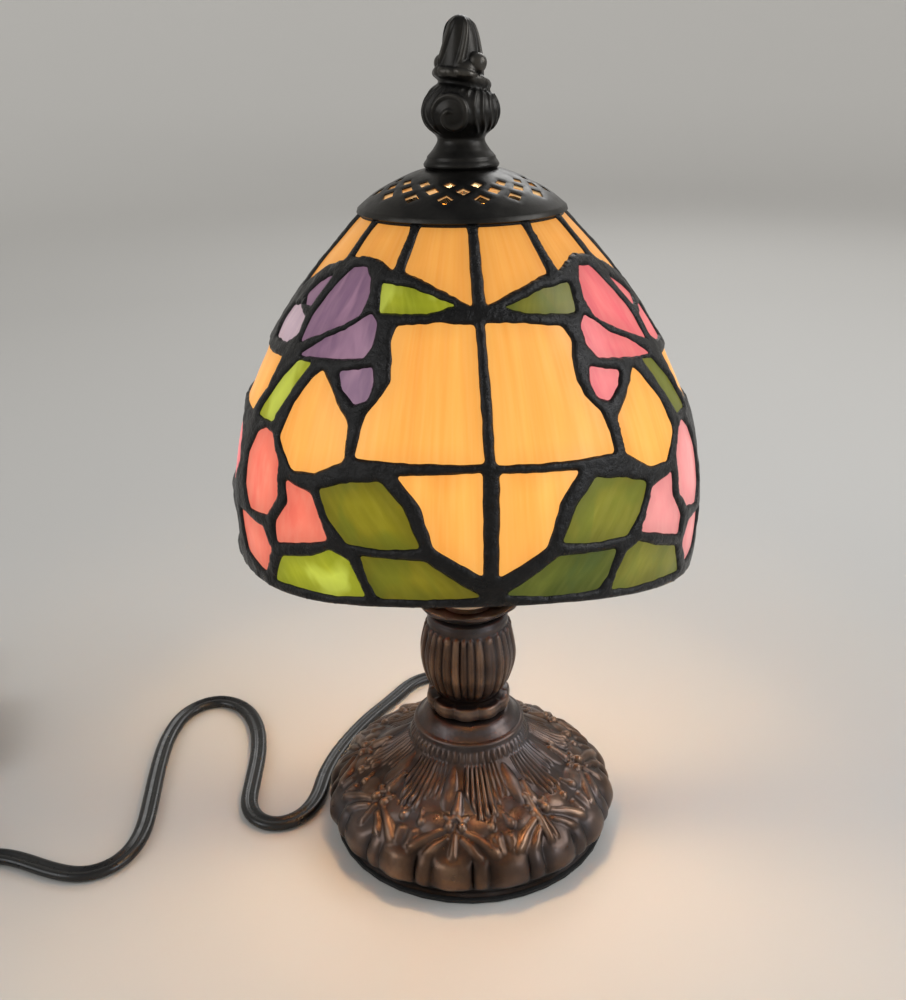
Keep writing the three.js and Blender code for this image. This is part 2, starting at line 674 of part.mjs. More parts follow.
function addTie() {
  const rectangle = (grow) => {
    const left = COIL_INNER - grow;
    const right = COIL_OUTER + grow;
    const low = COIL_BOTTOM - grow;
    const high = COIL_TOP + grow;
    return [[left, low], [right, low], [right, high], [left, high]];
  };
  const band = shapeFrom(rectangle(GAP + TIE_SHEET));
  band.holes.push(new THREE.Path(rectangle(GAP).map(([x, z]) => new THREE.Vector2(x, z))));
  const strap = new THREE.ExtrudeGeometry(band, { depth: 5, bevelEnabled: false });
  strap.translate(0, 0, -2.5).rotateX(Math.PI / 2);
  const tie = addMesh(lamp, "coil_tie", strap, "blackPlastic");
  tie.position.set(COIL_CENTRE[0], COIL_CENTRE[1], 0);
  tie.rotation.z = Math.PI;
}
addTie();

// The tail leaves the top of the coil, passes the switch and ends in the plug.
const tailToSwitch = [
  [-206.5, 9.7, 9], [-204.9, 12.1, 8.7], [-203.8, 15, 8.3], [-203.5, 17.6, 8],
];
addMesh(lamp, "cord_tail_a", routed(tailToSwitch, CORD_THICK / 2, CORD_WIDTH / 2, 8, 6), "blackPlastic");
const tailToPlug = [
  [-218.5, 74, 8], [-220.1, 77.8, 7.4], [-222.1, 81.2, 6.7], [-224.2, 83.7, 6.2], [-225.4, 84.9, 6.2],
];
addMesh(lamp, "cord_tail_b", routed(tailToPlug, CORD_THICK / 2, CORD_WIDTH / 2, 8, 6), "blackPlastic");

function placedGroup({ x, y, angle }) {
  const group = new THREE.Group();
  group.position.set(x, y, 0);
  group.rotation.z = angle;
  lamp.add(group);
  return group;
}

function addSwitch() {
  const body = placedGroup(SWITCH_PLACE);
  const outline = stadium(SWITCH_LENGTH, SWITCH_WIDTH);
  const wall = 2;
  const pocket = block(0, 0, SWITCH_HALF_HEIGHT, SWITCH_LENGTH - 24, SWITCH_WIDTH - 8, 2 * (SWITCH_HALF_HEIGHT - wall));
  addMesh(body, "switch_bottom", cut(slab(outline, 0, SWITCH_HALF_HEIGHT), [pocket]), "blackPlastic");
  const upperBottom = SWITCH_HALF_HEIGHT + GAP;
  const window = block(0, 0, upperBottom + SWITCH_HALF_HEIGHT / 2, 15.6, 9.6, 2 * SWITCH_HALF_HEIGHT);
  const upper = slab(outline, upperBottom, upperBottom + SWITCH_HALF_HEIGHT);
  addMesh(body, "switch_top", cut(upper, [window]), "blackPlastic");
  const rocker = slab([[-7, -2], [7, -2], [7, 2.6], [0, 1.4], [-7, 2.6]], -4, 4).rotateX(Math.PI / 2);
  const rockerMesh = addMesh(body, "switch_rocker", rocker, "blackPlastic");
  rockerMesh.position.set(0, 0, 14.4);
  rockerMesh.rotation.y = THREE.MathUtils.degToRad(-8);
}
addSwitch();

function addPlug() {
  const body = placedGroup(PLUG_PLACE);
  const side = [[-16, 4.2], [-8, 6.6], [4, 11], [12, 12.4], [16, 11.6]];
  const outline = [...side.map(([x, y]) => [x, -y]), ...[...side].reverse()];
  addMesh(body, "plug_body", slab(outline, 0, 12.4), "blackPlastic");
  for (const [name, y] of [["plug_blade_left", 6.35], ["plug_blade_right", -6.35]]) {
    addMesh(body, name, block(16 + GAP + 8.5, y, 6.2, 17, 1.5, 6.35), "brass");
  }
}
addPlug();

export default lamp;
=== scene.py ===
"""Looks of the stained glass table lamp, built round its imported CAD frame. Lengths are in millimetres
until a mesh is made. Longitude 0 faces the front (-Y) and grows towards +X."""

import math

import bpy
import numpy as np
from mathutils import Matrix, Vector, kdtree
from mathutils.geometry import delaunay_2d_cdt


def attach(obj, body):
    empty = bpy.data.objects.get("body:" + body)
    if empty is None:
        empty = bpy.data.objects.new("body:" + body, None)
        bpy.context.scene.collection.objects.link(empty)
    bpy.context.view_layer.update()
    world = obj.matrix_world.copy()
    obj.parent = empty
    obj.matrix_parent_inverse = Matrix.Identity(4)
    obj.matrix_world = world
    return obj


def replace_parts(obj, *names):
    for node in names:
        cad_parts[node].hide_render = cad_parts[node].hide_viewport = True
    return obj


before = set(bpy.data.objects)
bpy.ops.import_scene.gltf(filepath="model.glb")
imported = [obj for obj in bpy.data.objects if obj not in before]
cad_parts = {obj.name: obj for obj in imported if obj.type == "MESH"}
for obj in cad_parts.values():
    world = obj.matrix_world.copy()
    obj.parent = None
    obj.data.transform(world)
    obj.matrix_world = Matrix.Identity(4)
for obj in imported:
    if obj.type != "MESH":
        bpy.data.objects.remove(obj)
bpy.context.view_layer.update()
MM = 0.001

# The dome of the shade: its greatest radius and that height, its top edge, how far the radius has shrunk
# there, and the thickness of the solder.
RADIUS, BELLY, TOP, DROP, LEAD = 75.2, 130.0, 218.4, 44.9, 3.2

# Millimetres round the dome to a degree, near enough for cuts and steps along an outline.
PER_DEGREE = 1.2

# The rows of a triangular grid are this share of its spacing apart.
ROW_STEP = 0.87
rng = np.random.default_rng(11)


# ---------------------------------------------------------------- mesh helpers


def build(name, points, faces, material, body, slot=None, sharp=50, relief=None, edge=None):
    mesh = bpy.data.meshes.new(name)
    mesh.from_pydata((np.asarray(points, float) * MM).tolist(), [], [list(map(int, f)) for f in faces])
    mesh.update()
    mesh.shade_smooth()
    mesh.set_sharp_from_angle(angle=math.radians(sharp))
    for attribute, values in (("relief", relief), ("edge", edge)):
        if values is not None:
            mesh.attributes.new(attribute, "FLOAT", "POINT").data.foreach_set(
                "value", np.asarray(values, np.float32).ravel()
            )
    obj = bpy.data.objects.new(name, mesh)
    bpy.context.scene.collection.objects.link(obj)
    mesh.materials.append(material)
    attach(obj, body)
    return obj


def spline(points, step=1.0, closed=False):
    """A centripetal curve through the points, sampled about every step."""
    p = np.asarray(points, float)
    if closed:
        q = np.vstack([p[-1], p, p[0], p[1]])
    else:
        q = np.vstack([2 * p[0] - p[1], p, 2 * p[-1] - p[-2]])
    out = []
    for a, b, c, d in zip(q, q[1:], q[2:], q[3:]):
        # Barry and Goldman's pyramid for the stretch from b to c.
        t1 = np.linalg.norm(b - a) ** 0.5
        t2 = t1 + np.linalg.norm(c - b) ** 0.5
        t3 = t2 + np.linalg.norm(d - c) ** 0.5
        count = max(1, int(round(np.linalg.norm(c - b) / step)))
        t = np.linspace(t1, t2, count, endpoint=False)[:, None]
        ab = (t1 - t) / t1 * a + t / t1 * b
        bc = (t2 - t) / (t2 - t1) * b + (t - t1) / (t2 - t1) * c
        cd = (t3 - t) / (t3 - t2) * c + (t - t2) / (t3 - t2) * d
        abc = (t2 - t) / t2 * ab + t / t2 * bc
        bcd = (t3 - t) / (t3 - t1) * bc + (t - t1) / (t3 - t1) * cd
        out.append((t2 - t) / (t2 - t1) * abc + (t - t1) / (t2 - t1) * bcd)
    if not closed:
        out.append(p[-1:])
    return np.vstack(out)


def straight(points, step=1.0, closed=False):
    """The same path with points added on its straight sides."""
    p = np.asarray(points, float)
    q = np.vstack([p, p[:1]]) if closed else p
    out = []
    for a, b in zip(q, q[1:]):
        count = max(1, int(math.ceil(np.linalg.norm(b - a) / step)))
        out.append(a + (b - a) * (np.arange(count) / count)[:, None])
    if not closed:
        out.append(p[-1:])
    return np.vstack(out)


def wave(points, size, seed):
    """Smooth lumps between about -1 and 1, size apart, at an array of points."""
    r = np.random.default_rng(seed)
    total = np.zeros(len(points))
    for _ in range(9):
        direction = r.normal(size=points.shape[1])
        direction *= 2 * math.pi / (size * r.uniform(0.6, 1.6)) / np.linalg.norm(direction)
        total += np.sin(points @ direction + r.uniform(0, 6.28))
    return total / 4.2


def smoothstep(value, low, high):
    t = np.clip((value - low) / (high - low), 0, 1)
    return t * t * (3 - 2 * t)


def fall(value, start, end):
    """1 up to start and 0 from end on."""
    return 1 - smoothstep(value, start, end)


def lathe(profile, columns, relief=None, outer=None):
    """Points, quads and relief of a solid of revolution. The section runs down the outer side and back
    up the inner one. relief(theta, radius, height) pushes the first outer rows along their normal."""
    p = np.asarray(profile, float)
    rows = len(p)
    tangent = np.roll(p, -1, 0) - np.roll(p, 1, 0)
    tangent /= np.maximum(np.linalg.norm(tangent, axis=1), 1e-9)[:, None]
    normal = np.stack([-tangent[:, 1], tangent[:, 0]], 1)
    theta = np.arange(columns) * 2 * math.pi / columns
    push = np.zeros((rows, columns))
    if relief is not None:
        count = outer or rows
        th, rr = np.meshgrid(theta, p[:count, 0])
        zz = np.repeat(p[:count, 1:2], columns, 1)
        push[:count] = relief(th, rr, zz)
    r = np.maximum(p[:, 0:1] + normal[:, 0:1] * push, 0.0)
    z = p[:, 1:2] + normal[:, 1:2] * push
    points = np.stack([r * np.sin(theta), -r * np.cos(theta), z + 0 * theta], 2).reshape(-1, 3)
    a = np.arange(rows)[:, None] * columns + np.arange(columns)
    b = np.roll(a, -1, 1)
    quads = np.stack([a, np.roll(a, -1, 0), np.roll(b, -1, 0), b], 2).reshape(-1, 4)
    return points, quads, push.ravel()


def swept(path, section, up=(0, 0, 1)):
    """A tube along a path with a flat-lying section, closed at both ends."""
    p = np.asarray(path, float)
    tangent = np.gradient(p, axis=0)
    tangent /= np.linalg.norm(tangent, axis=1)[:, None]
    wide = np.cross(tangent, np.array(up, float))
    wide /= np.linalg.norm(wide, axis=1)[:, None]
    high = np.cross(wide, tangent)
    s = np.asarray(section, float)
    points = p[:, None] + wide[:, None] * s[None, :, :1] + high[:, None] * s[None, :, 1:]
    n = len(s)
    a = np.arange(len(p) - 1)[:, None] * n + np.arange(n)
    b = np.arange(len(p) - 1)[:, None] * n + np.roll(np.arange(n), -1)
    faces = np.stack([a, b, b + n, a + n], 2).reshape(-1, 4).tolist()
    faces.append(list(range(n))[::-1])
    faces.append([len(p) * n - n + i for i in range(n)])
    return points.reshape(-1, 3), faces


def inside(points, loop):
    """Which points lie in a closed outline."""
    x, y = points[:, 0], points[:, 1]
    hit = np.zeros(len(points), bool)
    for (ax, ay), (bx, by) in zip(loop, np.roll(loop, -1, 0)):
        if ay == by:
            continue
        crosses = (ay > y) != (by > y)
        hit ^= crosses & (x < (bx - ax) * (y - ay) / (by - ay) + ax)
    return hit


def nearest(points, samples):
    """Distance from each point to the closest sample."""
    tree = kdtree.KDTree(len(samples))
    for i, s in enumerate(samples):
        tree.insert((s[0], s[1], s[2] if len(s) > 2 else 0.0), i)
    tree.balance()
    return np.array([tree.find((p[0], p[1], p[2] if len(p) > 2 else 0.0))[2] for p in points])


def meshed(outline, holes, spacing, clear, scale=(1.0, 1.0)):
    """Triangles of a flat outline with holes, with points about spacing apart inside it. scale says how
    many millimetres a unit of each coordinate stands for."""
    loops = [np.asarray(outline, float)] + [np.asarray(h, float) for h in holes]
    k = np.array(scale, float)
    border = np.vstack(loops) * k
    low, high = border.min(0), border.max(0)
    gx, gy = np.meshgrid(
        np.arange(low[0] + spacing / 2, high[0], spacing),
        np.arange(low[1] + spacing / 2, high[1], spacing * ROW_STEP),
    )
    gx[1::2] += spacing / 2
    grid = np.stack([gx.ravel(), gy.ravel()], 1)
    grid = grid[inside(grid, loops[0] * k)]
    for hole in loops[1:]:
        h = hole * k
        near = np.all((grid > h.min(0) - clear) & (grid < h.max(0) + clear), axis=1)
        drop = np.zeros(len(grid), bool)
        drop[near] = inside(grid[near], h)
        grid = grid[~drop]
    if len(grid):
        grid = grid[nearest(grid, border) > clear]
    flat = np.vstack([border, grid])
    edges, first = [], 0
    for loop in loops:
        n = len(loop)
        edges += [(first + i, first + (i + 1) % n) for i in range(n)]
        first += n
    verts, _, faces, origin, _, _ = delaunay_2d_cdt([Vector(p) for p in flat], edges, [], 1, 1e-6)
    verts = np.array([tuple(v) for v in verts])
    faces = np.array([list(f) for f in faces])
    middle = verts[faces].mean(1)
    keep = np.ones(len(faces), bool)
    for hole in loops[1:]:
        h = hole * k
        near = np.all((middle > h.min(0)) & (middle < h.max(0)), axis=1)
        gone = np.zeros(len(faces), bool)
        gone[near] = inside(middle[near], h)
        keep &= ~gone
    return verts / k, faces[keep]


def shell(flat, faces, outer, inner):
    """Two copies of a flat mesh, bent to the outer and inner places, and walls between them."""
    n = len(flat)
    faces = np.asarray(faces)
    sides = np.vstack([faces[:, [0, 1]], faces[:, [1, 2]], faces[:, [2, 0]]])
    known = set(map(tuple, sides.tolist()))
    walls = [[a, a + n, b + n, b] for a, b in sides.tolist() if (b, a) not in known]
    out = faces.tolist() + (faces[:, ::-1] + n).tolist() + walls
    return np.vstack([outer, inner]), out


def welded(points, faces, grain=1e-3, *values):
    """The mesh with points that share a place made one."""
    key = np.round(np.asarray(points) / grain).astype(np.int64)
    _, first, place = np.unique(key, axis=0, return_index=True, return_inverse=True)
    place = place.ravel()
    new = [[int(place[i]) for i in f] for f in faces]
    new = [f for f in new if len(set(f)) == len(f)]
    return (np.asarray(points)[first], new, *[np.asarray(v)[first] for v in values])


# ---------------------------------------------------------------- shader helpers


def rgb(text):
    """Linear colour of a display colour such as "a06e4b"."""
    c = [int(text[i : i + 2], 16) / 255 for i in (0, 2, 4)]
    return [(v / 12.92 if v <= 0.04045 else ((v + 0.055) / 1.055) ** 2.4) for v in c] + [1.0]


class Shader:
    """A material round one Principled BSDF, with short calls for the nodes used here."""

    def __init__(self, name, **sockets):
        self.material = bpy.data.materials.new(name)
        self.material.use_nodes = True
        self.tree = self.material.node_tree
        self.main = self.tree.nodes["Principled BSDF"]
        for key, value in sockets.items():
            self.set(key.replace("_", " "), value)

    def set(self, socket, value):
        if isinstance(value, bpy.types.NodeSocket):
            self.tree.links.new(value, self.main.inputs[socket])
        else:
            self.main.inputs[socket].default_value = value

    def node(self, kind, out, inputs=(), **settings):
        n = self.tree.nodes.new(kind)
        for key, value in settings.items():
            setattr(n, key, value)
        for key, value in dict(inputs).items():
            if isinstance(value, bpy.types.NodeSocket):
                self.tree.links.new(value, n.inputs[key])
            else:
                n.inputs[key].default_value = value
        return n.outputs[out]

    def place(self, scale, offset=(0, 0, 0)):
        at = self.node("ShaderNodeTexCoord", "Object")
        return self.node("ShaderNodeMapping", 0, {"Vector": at, "Scale": scale, "Location": offset})

    def noise(self, scale, detail=4.0, rough=0.55, offset=(0, 0, 0), distort=0.0):
        v = self.place(scale if hasattr(scale, "__len__") else (scale,) * 3, offset)
        inputs = {"Vector": v, "Scale": 1.0, "Detail": detail, "Roughness": rough, "Distortion": distort}
        return self.node("ShaderNodeTexNoise", 0, inputs)

    def ramp(self, value, *stops):
        n = self.tree.nodes.new("ShaderNodeValToRGB")
        while len(n.color_ramp.elements) < len(stops):
            n.color_ramp.elements.new(0.5)
        for element, (at, colour) in zip(n.color_ramp.elements, stops):
            element.position = at
            element.color = colour if hasattr(colour, "__len__") else (colour, colour, colour, 1)
        self.tree.links.new(value, n.inputs[0])
        return n.outputs[0]

    def mix(self, a, b, share, how="MIX"):
        n = self.tree.nodes.new("ShaderNodeMix")
        n.data_type = "RGBA"
        n.blend_type = how
        for key, value in ((0, share), (6, a), (7, b)):
            if isinstance(value, bpy.types.NodeSocket):
                self.tree.links.new(value, n.inputs[key])
            else:
                n.inputs[key].default_value = value
        return n.outputs[2]

    def value(self, attribute):
        return self.node("ShaderNodeAttribute", "Fac", attribute_name=attribute)

    def maths(self, how, a, b=0.0):
        return self.node("ShaderNodeMath", 0, {0: a, 1: b}, operation=how)

    def bump(self, height, strength, distance=0.0004):
        inputs = {"Height": height, "Strength": strength, "Distance": distance}
        self.set("Normal", self.node("ShaderNodeBump", 0, inputs))


# ---------------------------------------------------------------- materials


def make_bronze():
    s = Shader("aged_bronze", Metallic=0.82)
    relief = s.value("relief")
    worn = s.ramp(relief, (0.0, 0.0), (0.35, 0.35), (1.0, 1.0))
    spread = s.ramp(s.noise(90, 5), (0.35, 0.0), (0.7, 1.0))
    lift = s.mix(worn, spread, 0.28)
    base = s.ramp(
        lift, (0.0, rgb("15100e")), (0.34, rgb("382a22")), (0.68, rgb("604a3b")), (1.0, rgb("94765e"))
    )
    cool = s.ramp(s.noise(38, 3, offset=(3, 1, 2)), (0.42, 0.0), (0.72, 1.0))
    s.set("Base Color", s.mix(base, rgb("5f5d60"), s.maths("MULTIPLY", cool, 0.6)))
    s.set("Roughness", s.ramp(s.noise(240, 4), (0.3, 0.27), (0.75, 0.46)))
    s.bump(s.noise(900, 3), 0.18, 0.0002)
    return s.material


def make_black_metal(name="gunmetal", lit_inside=False):
    """Blackened metal, and for the cap an inner face with a painted warm glow that stands for the bulb's
    light.
    """
    s = Shader(name, Metallic=0.85)
    if lit_inside:
        # Painted light: the cap's inner face glows warm where its edge attribute is low.
        warm = s.ramp(s.noise(260, 3), (0.3, rgb("d98a3a")), (0.7, rgb("ffd9a0")))
        s.set("Emission Color", warm)
        s.set("Emission Strength", s.ramp(s.value("edge"), (0.0, 0.95), (0.45, 0.4), (0.7, 0.0)))
    tone = s.ramp(s.noise(120, 4), (0.3, rgb("1d1c1b")), (0.75, rgb("34322f")))
    worn = s.ramp(s.value("relief"), (0.45, 0.0), (1.0, 1.0))
    s.set("Base Color", s.mix(tone, rgb("5a5650"), s.maths("MULTIPLY", worn, 0.6)))
    s.set("Roughness", s.ramp(s.noise(300, 4), (0.3, 0.3), (0.7, 0.44)))
    s.bump(s.noise(1100, 3), 0.12, 0.0002)
    return s.material


def make_solder():
    s = Shader("blackened_solder", Metallic=0.55)
    tone = s.ramp(s.noise(150, 5), (0.3, rgb("0c0b0b")), (0.62, rgb("1b1a1a")), (0.8, rgb("2c2a29")))
    s.set("Base Color", tone)
    s.set("Roughness", s.ramp(s.noise(260, 4), (0.3, 0.24), (0.7, 0.44)))
    s.bump(s.noise(420, 5, 0.65), 0.9, 0.0007)
    return s.material


def make_glass(name, deep, plain, bright, power, streak, mottle=None, share=0.0, lean=0.0, rim=0.84):
    """Opalescent glass whose light from the bulb inside is painted as an emission glow: plain colour with
    deeper and brighter streaks that run up.
    """
    s = Shader(name, Roughness=0.3, IOR=1.5, Specular_IOR_Level=0.22)
    seed = s.value("relief")
    shift = s.node("ShaderNodeCombineXYZ", 0, {0: seed, 1: seed, 2: seed})
    x, y, z = (s.node("ShaderNodeSeparateXYZ", axis, {0: s.place((1, 1, 1))}) for axis in range(3))
    around = s.maths("MULTIPLY", s.maths("ARCTAN2", x, s.maths("MULTIPLY", y, -1.0)), RADIUS * MM)
    unrolled = s.node("ShaderNodeCombineXYZ", 0, {0: around, 2: z})
    at = s.node("ShaderNodeVectorMath", 0, {0: unrolled, 1: shift}, operation="ADD")
    tilted = s.node("ShaderNodeMapping", 0, {"Vector": at, "Rotation": (0, lean, 0)})

    def cloud(scale, detail, distort=0.0):
        v = s.node("ShaderNodeMapping", 0, {"Vector": tilted, "Scale": scale})
        inputs = {"Vector": v, "Scale": 1.0, "Detail": detail, "Distortion": distort}
        return s.node("ShaderNodeTexNoise", 0, inputs)

    wide = s.ramp(cloud(streak, 3.0, 0.35), (0.24, 0.0), (0.76, 1.0))
    fine = s.ramp(cloud([v * 4.5 for v in streak], 2.0, 0.3), (0.4, 0.0), (0.7, 1.0))
    colour = s.mix(s.mix(deep, plain, wide), bright, s.maths("MULTIPLY", fine, 0.15))
    if mottle is not None:
        patch = s.ramp(cloud((70, 70, 50), 2.0, 0.8), (0.5, 0.0), (0.62, 1.0))
        colour = s.mix(colour, mottle, s.maths("MULTIPLY", patch, share))
    # Painted light: the glow is brightest at about the bulb's height, 153 mm up, and dimmer towards the rim
    # and the top.
    glow = s.ramp(
        s.node("ShaderNodeMapRange", 0, {0: z, 1: 0.108, 2: 0.22}),
        (0.0, 0.74), (0.2, 0.9), (0.4, 1.0), (0.58, 0.92), (0.8, 0.8), (1.0, 0.66),
    )
    # Painted shade: the glow dims towards a pane's edge along the solder, down to rim times its brightness.
    shade = s.ramp(s.value("edge"), (0.0, rim), (0.2, 0.3 + 0.7 * rim), (0.6, 1.0))
    light = s.mix(s.mix(colour, glow, 1.0, "MULTIPLY"), shade, 1.0, "MULTIPLY")
    s.set("Base Color", s.mix(colour, (0, 0, 0, 1), 0.6))
    s.set("Emission Color", light)
    s.set("Emission Strength", power)
    s.bump(cloud((160, 160, 60), 3.0), 0.12, 0.0005)
    return s.material


def make_plastic(name, colour, rough, grain=500, strength=0.08):
    s = Shader(name)
    c = rgb(colour)
    light = [min(1, v * 1.35 + 0.006) for v in c[:3]] + [1]
    s.set("Base Color", s.ramp(s.noise(160, 4), (0.35, c), (0.75, light)))
    s.set("Roughness", s.ramp(s.noise(grain, 3), (0.3, rough), (0.75, min(1, rough + 0.14))))
    s.bump(s.noise(grain * 2, 3), strength, 0.0002)
    return s.material


def make_metal(name, dark, light, rough, along=(60, 60, 900)):
    s = Shader(name, Metallic=1.0)
    s.set("Base Color", s.ramp(s.noise(along, 4), (0.3, rgb(dark)), (0.75, rgb(light))))
    s.set("Roughness", s.ramp(s.noise(along, 3), (0.3, rough), (0.7, rough + 0.14)))
    s.bump(s.noise(along, 3), 0.1, 0.0001)
    return s.material


def make_bulb_glass():
    s = Shader("bulb_glass", Roughness=0.04, IOR=1.45, Transmission_Weight=1.0)
    s.set("Base Color", s.ramp(s.noise(60, 2), (0.3, rgb("fff6e6")), (0.7, rgb("ffffff"))))
    s.bump(s.noise(90, 2), 0.05, 0.0002)
    return s.material


def make_filament():
    s = Shader("hot_filament", Metallic=0.3, Roughness=0.5)
    s.set("Base Color", rgb("ffd08a"))
    s.set("Emission Color", s.ramp(s.noise(400, 2), (0.3, (1.0, 0.62, 0.25, 1)), (0.7, (1.0, 0.8, 0.5, 1))))
    s.set("Emission Strength", 14.0)
    return s.material


bronze = make_bronze()
gunmetal = make_black_metal()
lit_gunmetal = make_black_metal("gunmetal_cap", True)
solder = make_solder()

# Each colour of glass: its material and slot, its deep, plain and bright tones, how brightly its painted glow
# shines and its streaks, as noise scales round, through and up the dome. Where they aren't the usual ones,
# its mottling's colour and share, its streaks' lean and its rim, the share of its glow left at its edge as
# painted shade along the solder, follow.
AMBER_STREAK = (150, 150, 9)
LEAF_STREAK = (120, 120, 24)
PETAL_STREAK = (110, 110, 40)
LILAC_STREAK = (100, 100, 36)
GLASS = {
    "amber": ("glass_amber", "glass_amber", "ef9e44", "f8b256", "ffc97c", 1.0, AMBER_STREAK, {}),
    "amber_deep": ("glass_amber_deep", "glass_amber", "ec9a40", "f5ab50", "fcc076", 0.98, AMBER_STREAK, {}),
    "leaf_bright": (
        "glass_leaf_bright", "glass_green", "8f961c", "adb026", "d8d94c", 0.9, (120, 120, 34),
        {"mottle": rgb("d6e05c"), "share": 0.6, "lean": 0.7, "rim": 0.6},
    ),
    "leaf": (
        "glass_leaf_green", "glass_green", "6c6412", "8a8018", "aea238", 0.82, LEAF_STREAK,
        {"mottle": rgb("66701c"), "share": 0.5, "lean": 0.7, "rim": 0.55},
    ),
    "leaf_dark": (
        "glass_leaf_dark", "glass_green", "4c561c", "6a7028", "92944a", 0.78, LEAF_STREAK,
        {"mottle": rgb("46582a"), "share": 0.5, "lean": -0.7, "rim": 0.6},
    ),
    "leaf_mid": (
        "glass_leaf_mid", "glass_green", "6c6a20", "88852c", "aca850", 0.8, LEAF_STREAK,
        {"mottle": rgb("687428"), "share": 0.45, "lean": -0.7, "rim": 0.55},
    ),
    "pink": ("glass_pink", "glass_pink", "e8646c", "f47e7c", "ffab9a", 0.94, PETAL_STREAK, {"rim": 0.7}),
    "coral": ("glass_coral", "glass_pink", "ea6c58", "f5866c", "ffae92", 0.94, PETAL_STREAK, {"rim": 0.7}),
    "rose": ("glass_rose", "glass_pink", "e07f80", "ef9a96", "fcbcae", 0.88, PETAL_STREAK, {"rim": 0.7}),
    "lilac": (
        "glass_lilac", "glass_lilac", "785874", "947088", "b8949e", 0.8, LILAC_STREAK,
        {"mottle": rgb("b58aa0"), "share": 0.5},
    ),
    "pale": (
        "glass_pale_lilac", "glass_lilac", "b69cab", "cdb2b8", "e8cfc8", 0.85, LILAC_STREAK,
        {"mottle": rgb("c9a6ac"), "share": 0.4},
    ),
}
glass = {
    colour: make_glass(name, rgb(deep), rgb(plain), rgb(bright), power, streak, **more)
    for colour, (name, _, deep, plain, bright, power, streak, more) in GLASS.items()
}
glass_slot = {colour: row[1] for colour, row in GLASS.items()}
steel = make_metal("zinc_steel", "8c8c89", "b9b9b5", 0.3)
brass = make_metal("brass", "9a7a34", "c9a452", 0.26)
ivory = make_plastic("ivory_plastic", "e6ddc8", 0.42)
black_plastic = make_plastic("black_plastic", "0d0d0d", 0.3)
cord_plastic = make_plastic("cord_plastic", "0b0b0b", 0.24, 260, 0.1)
felt = make_plastic("felt", "1b1b1b", 0.92, 1500, 0.9)
bulb_glass = make_bulb_glass()
hot = make_filament()

# ---------------------------------------------------------------- camera

camera = bpy.data.objects.new("camera", bpy.data.cameras.new("camera"))
bpy.context.scene.collection.objects.link(camera)
camera.data.lens = 38.52
camera.data.sensor_width = 36
camera.data.clip_start = 0.01
camera.matrix_world = (
    Matrix.Translation(Vector((-0.00426, -0.3266, 0.26)))
    @ Matrix.Rotation(math.radians(67.5), 4, "X")
    @ Matrix.Rotation(math.radians(-1.05), 4, "Z")
)
bpy.context.scene.camera = camera

# ---------------------------------------------------------------- cord

LIE = 1.65
SEEN = [
    (0, 66.3, 6.4), (0, 68.6, 6.2), (0, 73, 4), (-1.2, 78, 2), (-4.4, 84.5, LIE), (-12, 90.6, LIE),
    (-22.4, 86.4, LIE), (-31, 73, LIE), (-42, 56, LIE), (-51, 37, LIE), (-56.2, 19, LIE),
    (-57.4, 5, LIE), (-62.6, -6.4, LIE), (-73, -10.6, LIE), (-82.4, -2, LIE), (-83.8, 14, LIE),
    (-84.6, 34, LIE), (-88.4, 53, LIE), (-97, 68, LIE), (-109, 73.4, LIE), (-119.8, 65, LIE),
    (-123.8, 47, LIE), (-123, 26, LIE), (-120.6, 4, LIE),
    (-119.2, -14, LIE), (-122.6, -27.6, LIE), (-133, -34.6, LIE), (-147, -31.4, LIE), (-159, -26, LIE),
    (-169, -23.6, 1.9), (-176, -25, 2.4), (-181.6, -29.6, 2.8),
]
COIL = (-226.8, -36)
COLUMN_IN, COLUMN_OUT = 35.4, 42.1
LAYERS = (2.85, 6.35, 9.85)
BEND = (-216.3, 17.9)
BEND_RADIUS = 12.8
SWITCH = (-211.0, 46.0)
PLUG = (-237.1, 96.6)
LEAN = math.radians(105)
PLUG_LEAN = math.radians(135)


def coil_turns():
    """Clockwise turns, seen from above, that step in, up and out again inside the coil."""
    low, middle, high = LAYERS
    turns = [
        (COLUMN_OUT, low), (COLUMN_IN, low), (COLUMN_IN, middle), (COLUMN_OUT, middle), (COLUMN_OUT, high),
    ]
    step_starts, step_takes = 296, 58
    out = []
    for angle in range(6, 1722, 5):
        k, rest = divmod(angle, 360)
        r, z = turns[k]
        if rest > step_starts and k < 4:
            t = min((rest - step_starts) / step_takes, 1)
            t = t * t * (3 - 2 * t)
            r, z = r + t * (turns[k + 1][0] - r), z + t * (turns[k + 1][1] - z)
        wobble = 0.25 * math.sin(math.radians(3 * angle + 40 * k))
        at = math.radians(-angle)
        out.append((COIL[0] + (r + wobble) * math.cos(at), COIL[1] + (r + wobble) * math.sin(at), z))
    return out


def along(centre, offset, lean):
    """A point at a distance from a centre, in a direction on the table."""
    return (centre[0] + offset * math.cos(lean), centre[1] + offset * math.sin(lean))


def cord_path():
    """The cord's middle line, evenly sampled: the part in view, the coil, and the switch and plug."""
    tail = [
        (*along(BEND, BEND_RADIUS, math.radians(a)), z)
        for a, z in ((-88, 9.8), (-68, 9.6), (-48, 9.2), (-28, 8.6), (-8, 8.1))
    ]
    tail += [(*along(SWITCH, -24, LEAN), 8), (*along(SWITCH, 0, LEAN), 8), (*along(SWITCH, 28.9, LEAN), 8)]
    tail += [(-220.1, 77.8, 7.4), (-222.1, 81.2, 6.7)]
    tail += [(*along(PLUG, -17, PLUG_LEAN), 6.2), (*along(PLUG, -10, PLUG_LEAN), 6.2)]
    path = spline(SEEN + coil_turns() + tail, 1.5)
    span = np.concatenate([[0], np.cumsum(np.linalg.norm(np.diff(path, axis=0), axis=1))])
    steps = np.arange(0, span[-1], 1.9)
    path = np.stack([np.interp(steps, span, path[:, i]) for i in range(3)], 1)
    for _ in range(14):
        path[2:-2] = 0.25 * path[1:-3] + 0.5 * path[2:-2] + 0.25 * path[3:-1]
    return path


